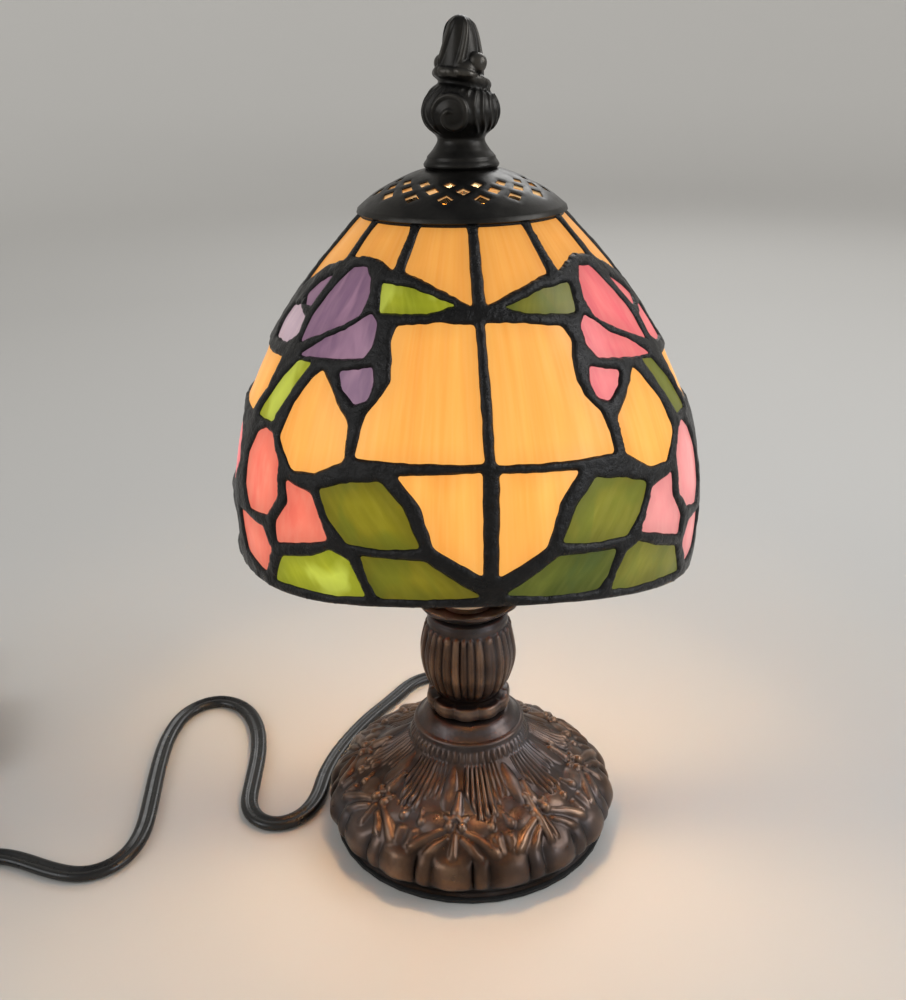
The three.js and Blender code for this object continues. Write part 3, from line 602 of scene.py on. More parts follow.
def add_cord():
    """Two round cores side by side, joined where they meet."""
    core = 1.6
    lobe = [math.radians(a) for a in range(-146, 147, 24)]
    section = [(core + core * math.cos(a), core * math.sin(a)) for a in lobe]
    section += [(-x, -y) for x, y in section]
    path = cord_path()
    points, faces = swept(path, section)
    cord = build("twin_cord", points, faces, cord_plastic, "lamp", "cord_plastic", 70)
    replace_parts(cord, "cord_free", "cord_coil", "cord_tail_a", "cord_tail_b")
    return cord, path


cord, cord_line = add_cord()


# ---------------------------------------------------------------- the shade's surface

TURN = 4.5


def shade_radius(z):
    """The dome's outer radius: a parabola above its belly, and almost upright below it."""
    below = RADIUS - ((BELLY - z) / 19) ** 2
    above = RADIUS - DROP * ((z - BELLY) / (TOP - BELLY)) ** 2
    return np.where(z < BELLY, below, above)


def rim_height(degrees):
    """The dome's lower edge, high at the front and back and low at the sides."""
    return 117.5 + 7 * np.cos(np.radians(2 * degrees))


def pattern_lift(degrees, z):
    """How much higher the hand-made pattern sits than its drawing: the left side is higher than the
    right one, and the petals and the rim on the left are lifted further."""
    lean = -1.7 * np.sin(np.radians(degrees)) * fall(z, 200, 214)
    return lean + 4 * np.exp(-(((degrees + 80) / 24) ** 2)) * fall(z, 135, 160)


def on_shade(flat, depth):
    """Points of the dome for (degrees, height), depth under its outer surface along the normal."""
    angle = np.radians(flat[:, 0] + TURN)
    z = flat[:, 1] + pattern_lift(flat[:, 0], flat[:, 1])
    slope = (shade_radius(z + 0.05) - shade_radius(z - 0.05)) / 0.1
    length = np.sqrt(1 + slope**2)
    r = shade_radius(z) - depth / length
    return np.stack([r * np.sin(angle), -r * np.cos(angle), z + depth * slope / length], 1)


def softened(outline, reach=0.55, times=2):
    """An outline with its corners rounded off, as solder leaves them. Heights and degrees differ in
    length, so the cut is measured with a degree as PER_DEGREE millimetres."""
    p = np.asarray(outline, float)
    k = np.array([PER_DEGREE, 1.0])
    for _ in range(times):
        out = []
        for a, b in zip(p, np.roll(p, -1, 0)):
            length = np.linalg.norm((b - a) * k)
            cut = min(0.25, reach / max(length, 1e-6))
            out += [a + (b - a) * cut, b + (a - b) * cut]
        p = np.array(out)
        reach *= 0.45
    return p


def resampled(outline, step):
    """An outline with points step apart, in degrees and heights."""
    k = np.array([PER_DEGREE, 1.0])
    return straight(np.asarray(outline) * k, step, True) / k


def area(outline):
    p = np.asarray(outline)
    q = np.roll(p, -1, 0)
    return float((p[:, 0] * q[:, 1] - q[:, 0] * p[:, 1]).sum() / 2)


def grown(outline, distance):
    """A counter-clockwise outline moved outwards by a distance in millimetres."""
    p = np.asarray(outline)
    k = np.stack([np.radians(1) * shade_radius(p[:, 1]), np.ones(len(p))], 1)
    side = (np.roll(p, -1, 0) - np.roll(p, 1, 0)) * k
    side /= np.linalg.norm(side, axis=1)[:, None]
    return p + np.stack([side[:, 1], -side[:, 0]], 1) * distance / k


CROWN_TOP = 217.8

# One quarter of the pattern from the front came to the side, in degrees and heights. The other
# quarters mirror it.
QUARTER = [
    (
        "crown_inner", "amber_deep",
        [(2.4, 199.8), (10, 202.6), (20, 205.2), (28, 206.6), (27.6, CROWN_TOP), (2.8, CROWN_TOP)],
    ),
    (
        "crown_middle", "amber_deep",
        [(33.4, 206.8), (40, 208.6), (48, 210), (57.5, 208.8), (57.2, CROWN_TOP), (33, CROWN_TOP)],
    ),
    (
        "crown_outer", "amber_deep",
        [(62.5, 208), (72, 204.8), (80, 201.2), (87.6, 196.5), (87.2, CROWN_TOP), (62.6, CROWN_TOP)],
    ),
    ("bud_leaf", "leaf_bright", [(8, 199.4), (16, 197.8), (33, 196.6), (35.6, 203.6), (24, 203.2)]),
    (
        "bud_main", "lilac",
        [
            (47, 206.8), (42, 204), (39.5, 200), (40, 195.5), (47, 192), (61, 186), (62, 193), (59, 200),
            (54, 206),
        ],
    ),
    (
        "bud_lower", "lilac",
        [(36, 196), (33, 194), (32, 189), (34, 186), (42, 184.5), (58, 183), (50, 188), (43, 191), (39, 194)],
    ),
    ("bud_upper", "lilac", [(63, 203), (64, 199), (66, 195), (70, 194.5), (75, 196.5), (71, 199.5)]),
    ("bud_outer", "pale", [(75, 193), (66, 191), (64.5, 187), (69, 184), (80, 183), (84, 187), (82, 192)]),
    ("calyx", "lilac", [(30, 184), (29, 180), (30, 176.5), (33, 175), (38, 178), (40, 181.5), (35, 183)]),
    (
        "field", "amber",
        [
            (1.4, 163), (16, 162.6), (30.4, 162.6), (30.4, 168), (29.4, 173), (26.4, 177), (24.4, 181),
            (25, 186), (27, 191), (25.4, 194.4), (13, 195.6), (1.7, 195.4),
        ],
    ),
    (
        "near_field", "amber",
        [
            (46, 181), (42, 178), (38, 174), (34, 170), (33.8, 161), (41, 156), (48, 155), (55, 162),
            (53, 171), (49, 179),
        ],
    ),
    ("stem_leaf", "leaf", [(52, 182), (58, 181), (63, 175), (68, 164), (60, 164.5), (56, 173)]),
    (
        "petal_oval", "rose",
        [(62, 162), (58, 161), (53, 155), (52, 145), (56, 138), (64, 135), (68, 140), (68, 152), (66, 159)],
    ),
    ("petal_inner", "coral", [(49, 151), (41, 149.5), (36, 138.5), (51, 131.5), (52, 137), (48, 145)]),
    ("petal_low", "coral", [(70, 131), (57, 133), (54, 128), (58, 119), (67, 119.4)]),
    (
        "leaf_high", "leaf",
        [(39, 152), (32, 155), (24, 157), (19, 151), (15, 141), (23, 139.5), (31, 139), (36, 145)],
    ),
    (
        "leaf_side", "leaf_bright",
        [
            (50, 128), (41, 132), (35, 136), (31, 134), (29, 129), (27, 124), (34, 122.4), (44, 121),
            (53.4, 118.6),
        ],
    ),
    (
        "leaf_low", "leaf",
        [(28, 136), (20, 137), (14, 137.5), (9, 133), (3, 128), (12, 126.4), (24, 124.8), (26, 129)],
    ),
    ("foot_field", "amber", [(2, 160.5), (20, 159.5), (15, 152), (12, 141), (7, 137), (2, 133)]),
]

# The panes of a side from the front up to its middle, which their other half mirrors.
SIDE = [
    ("far_field", "amber", [(90, 178.6), (80, 179), (67, 180), (68, 172), (73, 164), (90, 163.6)]),
    (
        "petal_middle", "pink",
        [(90, 161.4), (82, 160), (76, 154), (74, 146), (76.6, 138), (82, 134), (90, 133)],
    ),
    ("petal_foot", "coral", [(90, 130), (80, 129.6), (75, 127), (73.4, 120), (78, 116), (90, 113.4)]),
]

# The panes that each stand for one CAD node a quarter, which holds their neighbours too.
CAD_GROUP = {
    "crown_inner": "glass_crown_inner", "crown_middle": "glass_crown_middle",
    "crown_outer": "glass_crown_outer", "bud_main": "glass_bud", "field": "glass_field",
    "leaf_high": "glass_foot",
}
PLACES = {
    "front_right": lambda d: d,
    "back_right": lambda d: 180 - d,
    "back_left": lambda d: d - 180,
    "front_left": lambda d: -d,
}

# Panes of a quarter whose colour isn't the pattern's own.
REPAINT = {
    "front_right": {
        "bud_main": "pink", "bud_lower": "pink", "bud_upper": "pink", "bud_outer": "pink", "calyx": "pink",
        "bud_leaf": "leaf_mid", "stem_leaf": "leaf_mid", "petal_inner": "rose", "petal_oval": "rose",
        "petal_low": "rose", "leaf_low": "leaf_dark", "leaf_side": "leaf_mid", "leaf_high": "leaf_mid",
    },
    "back_left": {
        "bud_main": "pink", "bud_lower": "pink", "bud_upper": "pink", "bud_outer": "pink", "calyx": "pink",
        "bud_leaf": "leaf", "leaf_low": "leaf_dark",
    },
    "back_right": {"petal_oval": "coral", "leaf_side": "leaf", "leaf_high": "leaf_bright"},
    "front_left": {"petal_oval": "coral", "stem_leaf": "leaf_bright"},
}


def all_panes():
    """Name, colour, outline and the CAD node that it stands for, if any, of every piece of glass."""
    for name, colour, outline in QUARTER:
        for quarter, place in PLACES.items():
            placed = np.array([(place(d), z) for d, z in outline])
            node = f"{CAD_GROUP[name]}_{quarter}" if name in CAD_GROUP else None
            yield f"{name}_{quarter}", REPAINT[quarter].get(name, colour), placed, node
    for name, colour, half in SIDE:
        whole = half + [(180 - d, z) for d, z in half[::-1] if d != 90]
        for side, sign in (("right", 1), ("left", -1)):
            placed = np.array([(sign * d, z) for d, z in whole])
            node = f"glass_side_{side}" if name == "petal_middle" else None
            yield f"{name}_{side}", colour, placed, node


pane_outlines = []

# How far under the dome's surface a pane's front and back lie.
PANE_FRONT, PANE_BACK = 1.05, 2.2


def add_pane(name, colour, outline, node):
    """A pane that bulges less than the dome, with an uneven, hand-cut edge tucked under the solder."""
    loop = outline if area(outline) > 0 else outline[::-1]
    uneven = loop + rng.normal(0, 0.22, loop.shape) * (np.abs(loop[:, 1:2] - CROWN_TOP) > 0.1)
    loop = resampled(softened(uneven), 0.9)
    count = len(loop)
    strays = np.tile(rng.normal(0, 0.12, count), 3)
    stray = np.convolve(strays, (0.2, 0.4, 0.4, 0.2), "same")[count : 2 * count]
    loop = grown(loop, (0.15 + stray[:, None]) * (loop[:, 1:2] < CROWN_TOP - 0.8))
    pane_outlines.append(loop)
    tucked = grown(loop, 0.5)
    flat, faces = meshed(tucked, [], 2.6, 1.1, (1.15, 1.1))
    curved = on_shade(flat, np.zeros(len(flat)))
    border = on_shade(tucked, np.zeros(len(tucked)))
    middle = border.mean(0)
    normal = np.linalg.svd(border - middle)[2][2]
    from_edge = nearest(curved, border)
    flattening = 0.2 * smoothstep(from_edge, 0, 5)
    flatter = curved - np.outer(flattening * ((curved - middle) @ normal), normal)
    inward = on_shade(flat, np.ones(len(flat))) - curved
    ripple = 0.08 * wave(curved, 14, len(pane_outlines))[:, None]
    front = flatter + inward * (PANE_FRONT + ripple)
    points, faces = shell(flat, faces, front, flatter + inward * (PANE_BACK + ripple))
    seed = np.full(len(points), rng.uniform(-3, 3))
    # How far each point lies from the pane's edge: the glass shader dims the glow near it as painted shade
    # along the solder.
    edge = np.clip(np.tile(from_edge, 2) / 10, 0, 1)
    pane = build(f"pane_{name}", points, faces, glass[colour], "shade", glass_slot[colour], 60, seed, edge)
    if node:
        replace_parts(pane, node)


for pane in all_panes():
    add_pane(*pane)


# ---------------------------------------------------------------- solder lattice


def add_lattice():
    """The solder between the panes: one net whose seams are rounded beads with lumps."""
    columns = np.linspace(-180, 180, 361)
    rim = np.stack([columns, rim_height(columns)], 1)
    top = np.stack([columns[::-1], np.full(361, TOP)], 1)
    rise = np.arange(rim_height(180) + 1.2, TOP - 0.8, 1.2)
    right = np.stack([np.full(len(rise), 180.0), rise], 1)
    left = np.stack([np.full(len(rise), -180.0), rise[::-1]], 1)
    outline = np.vstack([rim, right, top, left])
    flat, faces = meshed(outline, pane_outlines, 0.85, 0.42, (PER_DEGREE, 1.12))
    bare = on_shade(flat, np.zeros(len(flat)))
    glass_edge = np.vstack([resampled(loop, 0.5) for loop in pane_outlines])
    from_glass = nearest(bare, on_shade(glass_edge, np.zeros(len(glass_edge))))
    from_rim = nearest(bare, on_shade(rim, np.zeros(len(rim))))
    across = np.clip(from_glass / 1.7, 0, 1)
    bead = np.sqrt(1 - (1 - across) ** 2) * np.clip(0.35 + from_rim / 1.4, 0, 1) ** 0.5
    lumps = 0.16 * wave(bare, 7, 3) + 0.13 * wave(bare, 14, 5) + 0.07 * wave(bare, 3, 9)
    depth = 1.03 - 0.8 * bead + np.where(from_glass > 0.3, lumps * bead, 0)
    depth = np.maximum(depth, 0.06)
    points, faces = shell(flat, faces, on_shade(flat, depth), on_shade(flat, LEAD - depth))
    points, faces, height = welded(points, faces, 2e-3, np.tile(bead, 2))
    lattice = build("solder_net", points, faces, solder, "shade", "solder", 75, height)
    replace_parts(lattice, "solder_lattice")


add_lattice()

# ---------------------------------------------------------------- cap

CAP = spline(
    [
        (9, 229.9), (11, 229.8), (15, 228.6), (20, 226.4), (25, 223.8), (28.4, 221.4), (30.4, 219.6),
        (31.2, 218.2),
    ],
    0.25,
)
CAP_RUN = np.concatenate([[0], np.cumsum(np.linalg.norm(np.diff(CAP, axis=0), axis=1))])
DEGREE_ON_CAP = 0.4


def on_cap(flat, depth):
    """Points of the cap for (degrees, distance run from its centre), depth under its surface."""
    angle = np.radians(flat[:, 0])
    r = np.interp(flat[:, 1], CAP_RUN, CAP[:, 0])
    z = np.interp(flat[:, 1], CAP_RUN, CAP[:, 1])
    dr, dz = (
        np.interp(flat[:, 1] + 0.3, CAP_RUN, CAP[:, k]) - np.interp(flat[:, 1] - 0.3, CAP_RUN, CAP[:, k])
        for k in range(2)
    )
    length = np.hypot(dr, dz)
    r = r + depth * dz / length
    z = z - depth * dr / length
    return np.stack([r * np.sin(angle), -r * np.cos(angle), z], 1)


def diamonds():
    """The cap's three rings of diamond holes, counter-clockwise, as degrees and run."""
    scale = [DEGREE_ON_CAP, 1]
    holes = []
    rings = ((24.6, 2.5, 1.9, 0), (21.3, 2.3, 1.6, 0.5), (18.3, 2.0, 1.4, 0))
    for radius, half_wide, half_high, turn in rings:
        run = np.interp(radius, CAP[:, 0], CAP_RUN)
        up = half_high * 1.18
        wide = math.degrees(half_wide / radius)
        for i in range(15):
            angle = (i + turn) * 24 - 180 + 0.4
            corners = [(angle, run - up), (angle + wide, run), (angle, run + up), (angle - wide, run)]
            if angle + wide < 180 and angle - wide > -180:
                loop = straight(np.array(corners) * scale, 0.7, True) / scale
                holes.append(loop if area(loop) > 0 else loop[::-1])
    return holes


def add_cap():
    """The pierced sheet cap, with edges pressed in round its holes and a turned lip."""
    end = CAP_RUN[-1]
    holes = diamonds()
    columns = np.linspace(-180, 180, 241)
    rise = np.linspace(0, end, 26)[1:-1]
    outline = np.vstack([
        np.stack([columns, np.zeros(241)], 1), np.stack([np.full(24, 180.0), rise], 1),
        np.stack([columns[::-1], np.full(241, end)], 1), np.stack([np.full(24, -180.0), rise[::-1]], 1),
    ])
    scale = [DEGREE_ON_CAP, 1]
    flat, faces = meshed(outline, holes, 0.9, 0.35, scale)
    faces = faces[:, ::-1]
    border = np.vstack([straight(hole * scale, 0.3, True) / scale for hole in holes])
    bare = on_cap(flat, np.zeros(len(flat)))
    near = nearest(bare, on_cap(border, np.zeros(len(border))))
    pressed = 0.18 * np.exp(-((near / 0.55) ** 2))
    lip = -0.3 * np.exp(-(((end - 0.9 - flat[:, 1]) / 0.8) ** 2))
    outer = on_cap(flat, pressed + lip + 0.02 * wave(bare, 9, 4))
    inner = on_cap(flat, 1.15 - 0.5 * pressed)
    points, faces = shell(flat, faces, outer, inner)
    tone = np.concatenate([np.clip(near / 2, 0, 1) * 0.5, np.zeros(len(flat))])
    # The inner face between these heights glows in the cap's material: painted light from the bulb, carried
    # in the edge attribute as unlit.
    lit = (bare[:, 2] > 219.7) & (bare[:, 2] < 228.8)
    unlit = np.concatenate([np.ones(len(flat)), 1.0 - lit])
    points, faces, tone, unlit = welded(points, faces, 2e-3, tone, unlit)
    cap = build("pierced_cap", points, faces, lit_gunmetal, "shade", "black_metal", 45, tone, unlit)
    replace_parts(cap, "heat_cap")


add_cap()


# ---------------------------------------------------------------- relief helpers


def dome(distance, width, power=0.7):
    """A rounded hump, 1 in its middle and 0 from its width on."""
    return np.clip(1 - (distance / width) ** 2, 0, None) ** power


def stroke(x, y, points, widths, height, power=0.7):
    """Height of a rounded raised line through the points, whose half width changes along it."""
    total = np.zeros_like(x)
    for (ax, ay), (bx, by), wa, wb in zip(points, points[1:], widths, widths[1:]):
        dx, dy = bx - ax, by - ay
        t = np.clip(((x - ax) * dx + (y - ay) * dy) / (dx * dx + dy * dy), 0, 1)
        d = np.hypot(x - ax - t * dx, y - ay - t * dy)
        w = wa + t * (wb - wa)
        hump = dome(np.minimum(d / w, 1), 1, power)
        total = np.maximum(total, height * hump * np.minimum(w / max(widths), 1) ** 0.5)
    return total


def turned(name, outer, inner, columns, relief, material, slot, node, body="lamp", sharp=50, gain=1.0):
    """A lathe piece that stands for a CAD node. The relief is only on its outer side."""
    points, quads, push = lathe(np.vstack([outer, inner]), columns, relief, len(outer))
    points, quads, push = welded(points, quads, 1e-4, push)
    tone = np.clip(0.35 + push * gain, 0, 1)
    obj = build(name, points, quads, material, body, slot, sharp, tone)
    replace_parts(obj, node)
    return obj


# ---------------------------------------------------------------- base casting

BASE_OUTER = spline(
    [
        (18.8, 40), (19.3, 38.4), (21.6, 34.4), (28, 29.4), (38.4, 23.2), (46, 18.4), (49.8, 14.6),
        (51.5, 10.4), (50.9, 6.2), (48.6, 1.7),
    ],
    0.5,
)
BASE_INNER = straight(
    [
        (47.4, 1.5), (48.2, 9.4), (44.4, 14.6), (36, 21), (25, 27.2), (18, 32), (14, 36), (5.2, 36),
        (5.2, 40),
    ],
    3,
)


def polar(degrees, radius):
    t = math.radians(degrees)
    return (radius * math.sin(t), radius * math.cos(t))


def flower(x, y, side):
    """One side of a wedge's flower: an eye, a crook, two petals, and a berry on its stalk."""
    crook = [polar(side * 1.0, 36.4), polar(side * 3.0, 37.4), polar(side * 5.6, 36.4)]
    upper = [polar(side * 5.2, 40.6), polar(side * 12, 43.2), polar(side * 17.5, 46.8)]
    lower = [polar(side * 3.6, 42.8), polar(side * 7.6, 45.0), polar(side * 10.5, 48.0)]
    berry = polar(side * 17.4, 39.4)
    stalk = [polar(side * 17.6, 39.4), polar(side * 19.6, 36.2)]
    return np.maximum.reduce([
        1.9 * dome(np.hypot(x - side * 2.3, y - 39.1), 1.75),
        stroke(x, y, crook, (1.0, 1.2, 0.9), 1.2),
        stroke(x, y, upper, (1.1, 1.6, 2.0), 1.25, 0.95),
        stroke(x, y, lower, (1.0, 1.4, 1.7), 1.05, 0.95),
        1.5 * dome(np.hypot(x - berry[0], y - berry[1]), 1.7),
        stroke(x, y, stalk, (1.1, 0.6), 0.9),
    ])


def wedge_relief(phi, wedge, r):
    """One of the casting's eight wedges: flutes, a panel, a drop and a flower, phi degrees off its middle."""
    a = np.radians(phi)
    x, y = r * np.sin(a), r * np.cos(a)
    strength = np.where(phi > -11, 1.0, 0.45) * (1 + 0.15 * np.cos(wedge * 2.4))
    step = (phi % 3.75) / 3.75 - 0.5
    number = np.floor(phi / 3.75)
    end = 30.4 + 6.2 * smoothstep(phi, 3, 13) + 2.0 * fall(phi, -20, -12) + 0.9 * np.cos(number * 2.1 + wedge)
    bulb = 0.5 * np.exp(-(((r - end + 1.5) / 1.3) ** 2))
    flute = (0.95 + bulb) * np.clip(1 - (2 * np.abs(step)) ** 2.2, 0, 1) - 0.3
    flute = strength * flute * smoothstep(r, 20.8, 22.6) * fall(r, end - 0.3, end + 0.6)
    h = np.where((phi > 2.6) | (phi < -11.2), flute, 0.0)
    h = np.maximum(h, 0.8 * dome(np.hypot((phi + 6.4) / 5.2, (r - 28.5) / 6.5), 1.0, 0.6))
    drop = [polar(0.4, 29.4), polar(0.2, 32.4), polar(0, 34.6)]
    h = np.maximum(h, stroke(x, y, drop, (1.3, 1.8, 2.3), 1.6, 0.9))
    for side in (-1, 1):
        h = np.maximum(h, flower(x, y, side))
    h = np.maximum(h, stroke(x, y, [polar(0, 41.6), polar(0, 47.4)], (0.9, 1.5), 1.0, 0.9))
    field = 0.9 * dome(np.hypot((np.abs(phi) - 11.5) / 7.0, (r - 38.8) / 3.4), 1.0, 0.8)
    return np.maximum(h, field * (r > end + 0.2))


def base_relief(theta, r, z):
    """The whole casting: wedges, fans in their corners, a ring of beads, two seams and a lobed rim."""
    degrees = np.degrees(theta) + 8.0
    phi = (degrees + 22.5) % 45 - 22.5
    h = wedge_relief(phi, np.floor((degrees + 22.5) / 45), r)
    off_corner = np.abs(np.minimum(degrees % 45, 45 - degrees % 45) - 22.5)
    fan = (0.45 + 0.45 * np.cos(np.radians(degrees * 56))) * fall(off_corner, 5.5, 7.5)
    fan = fan * smoothstep(r, 41.5, 43) * fall(r, 46.5, 48)
    beads = 0.55 * np.abs(np.cos(np.radians(degrees * 28))) ** 0.8 * dome(np.abs(r - 20.2), 0.9)
    lobe = (degrees - 11.25) % 22.5
    from_gap = np.minimum(lobe, 22.5 - lobe)
    band = smoothstep(z, 5.0, 8.6) * fall(z, 14.4, 18.0) * smoothstep(r, 44.2, 46.6)
    swell = np.maximum(2.1 * dome((11.25 - from_gap) / 8.0, 1.0, 0.6), 1.5 * dome(from_gap / 3.2, 1.0, 0.6))
    rim = band * (swell - 1.2 + 0.3 * np.cos(3 * theta + 1))
    undercut = -0.9 * smoothstep(z, 1.8, 3) * fall(z, 5.4, 7.4) * (r > 44)
    off_seam = np.radians((np.degrees(theta) - 34 + 90) % 180 - 90) * r
    seam = 1.9 * dome(off_seam, 1.4) * smoothstep(r, 31, 34) * smoothstep(z, 6, 10)
    relief = np.maximum(np.maximum(h, beads), seam)
    relief = np.maximum(relief, fan * (h < 0.3)) * fall(r, 46.5, 49) + np.maximum(rim, -1.2 * band) + undercut
    plan = np.stack([r * np.sin(theta), r * np.cos(theta)], -1).reshape(-1, 2)
    cast = (0.16 * wave(plan, 6, 21) + 0.1 * wave(plan, 13, 8)).reshape(r.shape)
    return relief + cast * smoothstep(r, 20, 24)


turned("base_cast", BASE_OUTER, BASE_INNER, 640, base_relief, bronze, "bronze", "base_casting", gain=0.5)


# ---------------------------------------------------------------- stem castings


def neck_relief(theta, r, z):
    lip = 0.3 * dome(np.abs(z - 41.0), 0.5)
    return lip + 0.05 * np.cos(5 * theta + 1) + 0.04 * np.cos(11 * theta + z)


NECK_OUTER = spline(
    [(12.8, 46), (14.3, 45.6), (15.6, 44.6), (16.9, 43), (18.6, 41.4), (19.5, 40.7), (19.2, 40.3)], 0.35
)
NECK_INNER = straight([(12, 40.3), (5.2, 40.3), (5.2, 46), (12.4, 46)], 2)
turned("neck_collar", NECK_OUTER, NECK_INNER, 240, neck_relief, bronze, "bronze", "neck_ring")


def cup_relief(theta, r, z):
    """Ten leaves turned outwards, each with a rib in its middle."""
    leaf = np.abs(np.cos(5 * theta + 0.4))
    body = leaf**0.6 * smoothstep(z, 46.5, 48) * fall(z, 51.4, 52.6)
    rib = 0.35 * np.exp(-(((theta * 10 / (2 * math.pi) + 0.127) % 1 - 0.5) / 0.09) ** 2)
    return body + rib * smoothstep(z, 46.8, 48.5) - 0.3


CUP_OUTER = spline([(12.2, 52.6), (13.7, 52.1), (14.3, 50.2), (13.9, 48.2), (13.2, 46.9), (12.2, 46.3)], 0.3)
CUP_INNER = straight([(11, 46.3), (5.2, 46.3), (5.2, 52.6), (11.6, 52.6)], 2)
turned("leaf_cup_cast", CUP_OUTER, CUP_INNER, 240, cup_relief, bronze, "bronze", "leaf_cup")

FLUTES = 30


def vase_relief(theta, r, z):
    """Narrow flutes that end in a row of small leaf tips under a plain band."""
    phase = theta * FLUTES / (2 * math.pi) + 0.22 * np.sin(3 * theta + 1) + 0.16 * np.sin(7 * theta)
    part = phase % 1 - 0.5
    reach = smoothstep(z, 54, 57.5) * fall(z, 77.4, 80.4)
    flute = (0.8 + 0.22 * np.sin(np.floor(phase) * 2.3)) * (1 - (2 * np.abs(part)) ** 2.4) * reach
    vein = -0.2 * np.exp(-((part / 0.09) ** 2)) * smoothstep(z, 58, 62) * fall(z, 74, 77)
    tips = 0.95 * dome(np.hypot(part * 3.8, z - 78.2), 1.7)
    band = 0.25 * dome(np.abs(z - 81.4), 1.1)
    uneven = 0.06 * np.cos(3 * theta + 0.5 * z)
    return np.maximum(flute + vein, tips) + band + uneven - 0.25


VASE_OUTER = spline(
    [
        (12.9, 84), (13.6, 83.4), (13.9, 82.2), (14.2, 79.6), (15.5, 74), (16.1, 69), (15.7, 64),
        (14.1, 58.6), (12.4, 55), (11.6, 53.4), (11.4, 52.9),
    ],
    0.45,
)
VASE_INNER = straight([(10, 52.9), (5.2, 52.9), (5.2, 84), (12, 84)], 3)
turned("vase_cast", VASE_OUTER, VASE_INNER, 352, vase_relief, bronze, "bronze", "vase_body", gain=0.9)


def dish_relief(theta, r, z):
    return 0.35 * np.sin(7 * theta) * smoothstep(r, 14, 18.4)


DISH_OUTER = spline(
    [
        (5.2, 86.4), (12.4, 86.5), (15.2, 87.9), (17, 89.3), (17.7, 89.4), (17.8, 88.8), (17, 87.9),
        (14.8, 86.3), (13, 85.1), (12, 84.3),
    ],
    0.4,
)
DISH_INNER = straight([(10, 84.3), (5.2, 84.3)], 2)
turned("drip_dish_cast", DISH_OUTER, DISH_INNER, 180, dish_relief, bronze, "bronze", "drip_dish")

# ---------------------------------------------------------------- finial

FINIAL_OUTER = spline(
    [
        (0.4, 270.9), (1.6, 270.5), (2.7, 269.6), (4.2, 266.4), (5.6, 260.8), (6.7, 256.8), (6.9, 253.8),
        (8.4, 251.4), (10.3, 248.4), (11, 245.4), (10.3, 242.6), (8.4, 240.2), (6.9, 238), (8.2, 235.4),
        (10.2, 233), (10.9, 231.2), (10.5, 229.9),
    ],
    0.3,
)
FINIAL_INNER = straight([(8, 229.9), (3.4, 229.9), (3.4, 245), (0.4, 245)], 2)


def finial_relief(theta, r, z):
    """A flame of upright ribs with a curl at each side, over a bulb of swirling leaves."""
    lean = theta - 0.05 * (z - 256)
    flame = 0.75 * np.cos(5 * lean + 0.6) + 0.3 * np.cos(11 * lean + 1.4)
    flame = flame * smoothstep(z, 256.5, 259.5) * fall(z, 267.5, 270.8)
    half = (np.degrees(theta) + 16 + 90) % 180 - 90
    curl_height = 244.6
    away = np.hypot(np.radians(half) * r, z - curl_height)
    turn = np.arctan2(z - curl_height, np.radians(half) * r)
    swirl = 0.85 * np.cos(2 * math.pi * away / 4.3 - turn) * smoothstep(away, 0.4, 1.6) - 0.1
    bowed = (half - 34 - 0.45 * (z - 246) ** 2) / 15.5
    ribs = 1.7 * np.abs(np.cos(math.pi * bowed)) ** 0.8 - 1.25
    share = smoothstep(away, 5.6, 7.2)
    leaves = (swirl * (1 - share) + ribs * share) * smoothstep(z, 239.2, 241.2) * fall(z, 250.6, 253)
    sweep = z - 254.4 - 1.7 * np.cos(theta + 1.0)
    band = 1.05 * dome(sweep, 1.6) - 0.6 * np.exp(-(((sweep + 2.3) / 0.8) ** 2)) * (z > 250)
    tufts = 0.2 * np.abs(np.cos(8 * theta + 0.5 * sweep)) * dome(sweep, 1.8)
    knobs = np.zeros_like(z)
    for angle in (50, 230):
        off = (np.degrees(theta) - angle + 180) % 360 - 180
        d = np.hypot(np.radians(off) * r, z - 258.4)
        knobs = np.maximum(knobs, 2.6 * dome(d, 2.9, 0.8))
        hook = np.hypot(np.radians(off + 34) * r, (z - 256.7) * 1.5)
        knobs = np.maximum(knobs, 1.1 * dome(hook, 3.6, 0.9))
    foot = 0.22 * dome(np.abs(z - 230.9), 0.7) - 0.2 * dome(np.abs(z - 232.6), 0.6)
    return np.maximum(flame + leaves, knobs) + np.maximum(band, -0.6) + tufts + foot


turned(
    "finial_cast", FINIAL_OUTER, FINIAL_INNER, 200, finial_relief, gunmetal, "black_metal", "finial",
    body="finial", gain=0.4,
)

# ---------------------------------------------------------------- socket and bulb


def socket_relief(theta, r, z):
    return 0.12 * np.cos(24 * theta) * smoothstep(z, 92, 94) * fall(z, 117, 120)


def thread_relief(theta, r, z):
    """A rolled thread with a pitch of 3.2 mm, the same in the socket and on the bulb."""
    return 0.22 * np.cos(theta + z * 2 * math.pi / 3.2)


SLEEVE_OUTER = spline(
    [(8.4, 122), (9.5, 121.9), (9.9, 121.2), (9.9, 118), (9.9, 100), (9.9, 90.4), (9.6, 88.8), (9, 88.6)], 0.8
)
SLEEVE_INNER = straight([(5.2, 88.6), (5.2, 90.6), (8, 90.6), (8, 122)], 3)
turned(
    "socket_sleeve_moulded", SLEEVE_OUTER, SLEEVE_INNER, 120, socket_relief, ivory, "ivory_plastic",
    "socket_sleeve",
)
SHELL_OUTER = straight([(7.45, 120), (7.45, 97.6)], 0.4)
SHELL_INNER = straight([(7.0, 97.6), (7.0, 120)], 1.2)
turned("socket_shell_rolled", SHELL_OUTER, SHELL_INNER, 96, thread_relief, brass, "brass", "socket_shell")
SCREW_OUTER = straight([(6.1, 121.4), (6.1, 101)], 0.4)
SCREW_INNER = straight([(5.6, 100), (3.2, 98), (0.4, 97.6), (0.4, 121.4)], 1)
turned(
    "bulb_cap_rolled", SCREW_OUTER, SCREW_INNER, 96, thread_relief, brass, "brass", "bulb_cap", body="bulb"
)
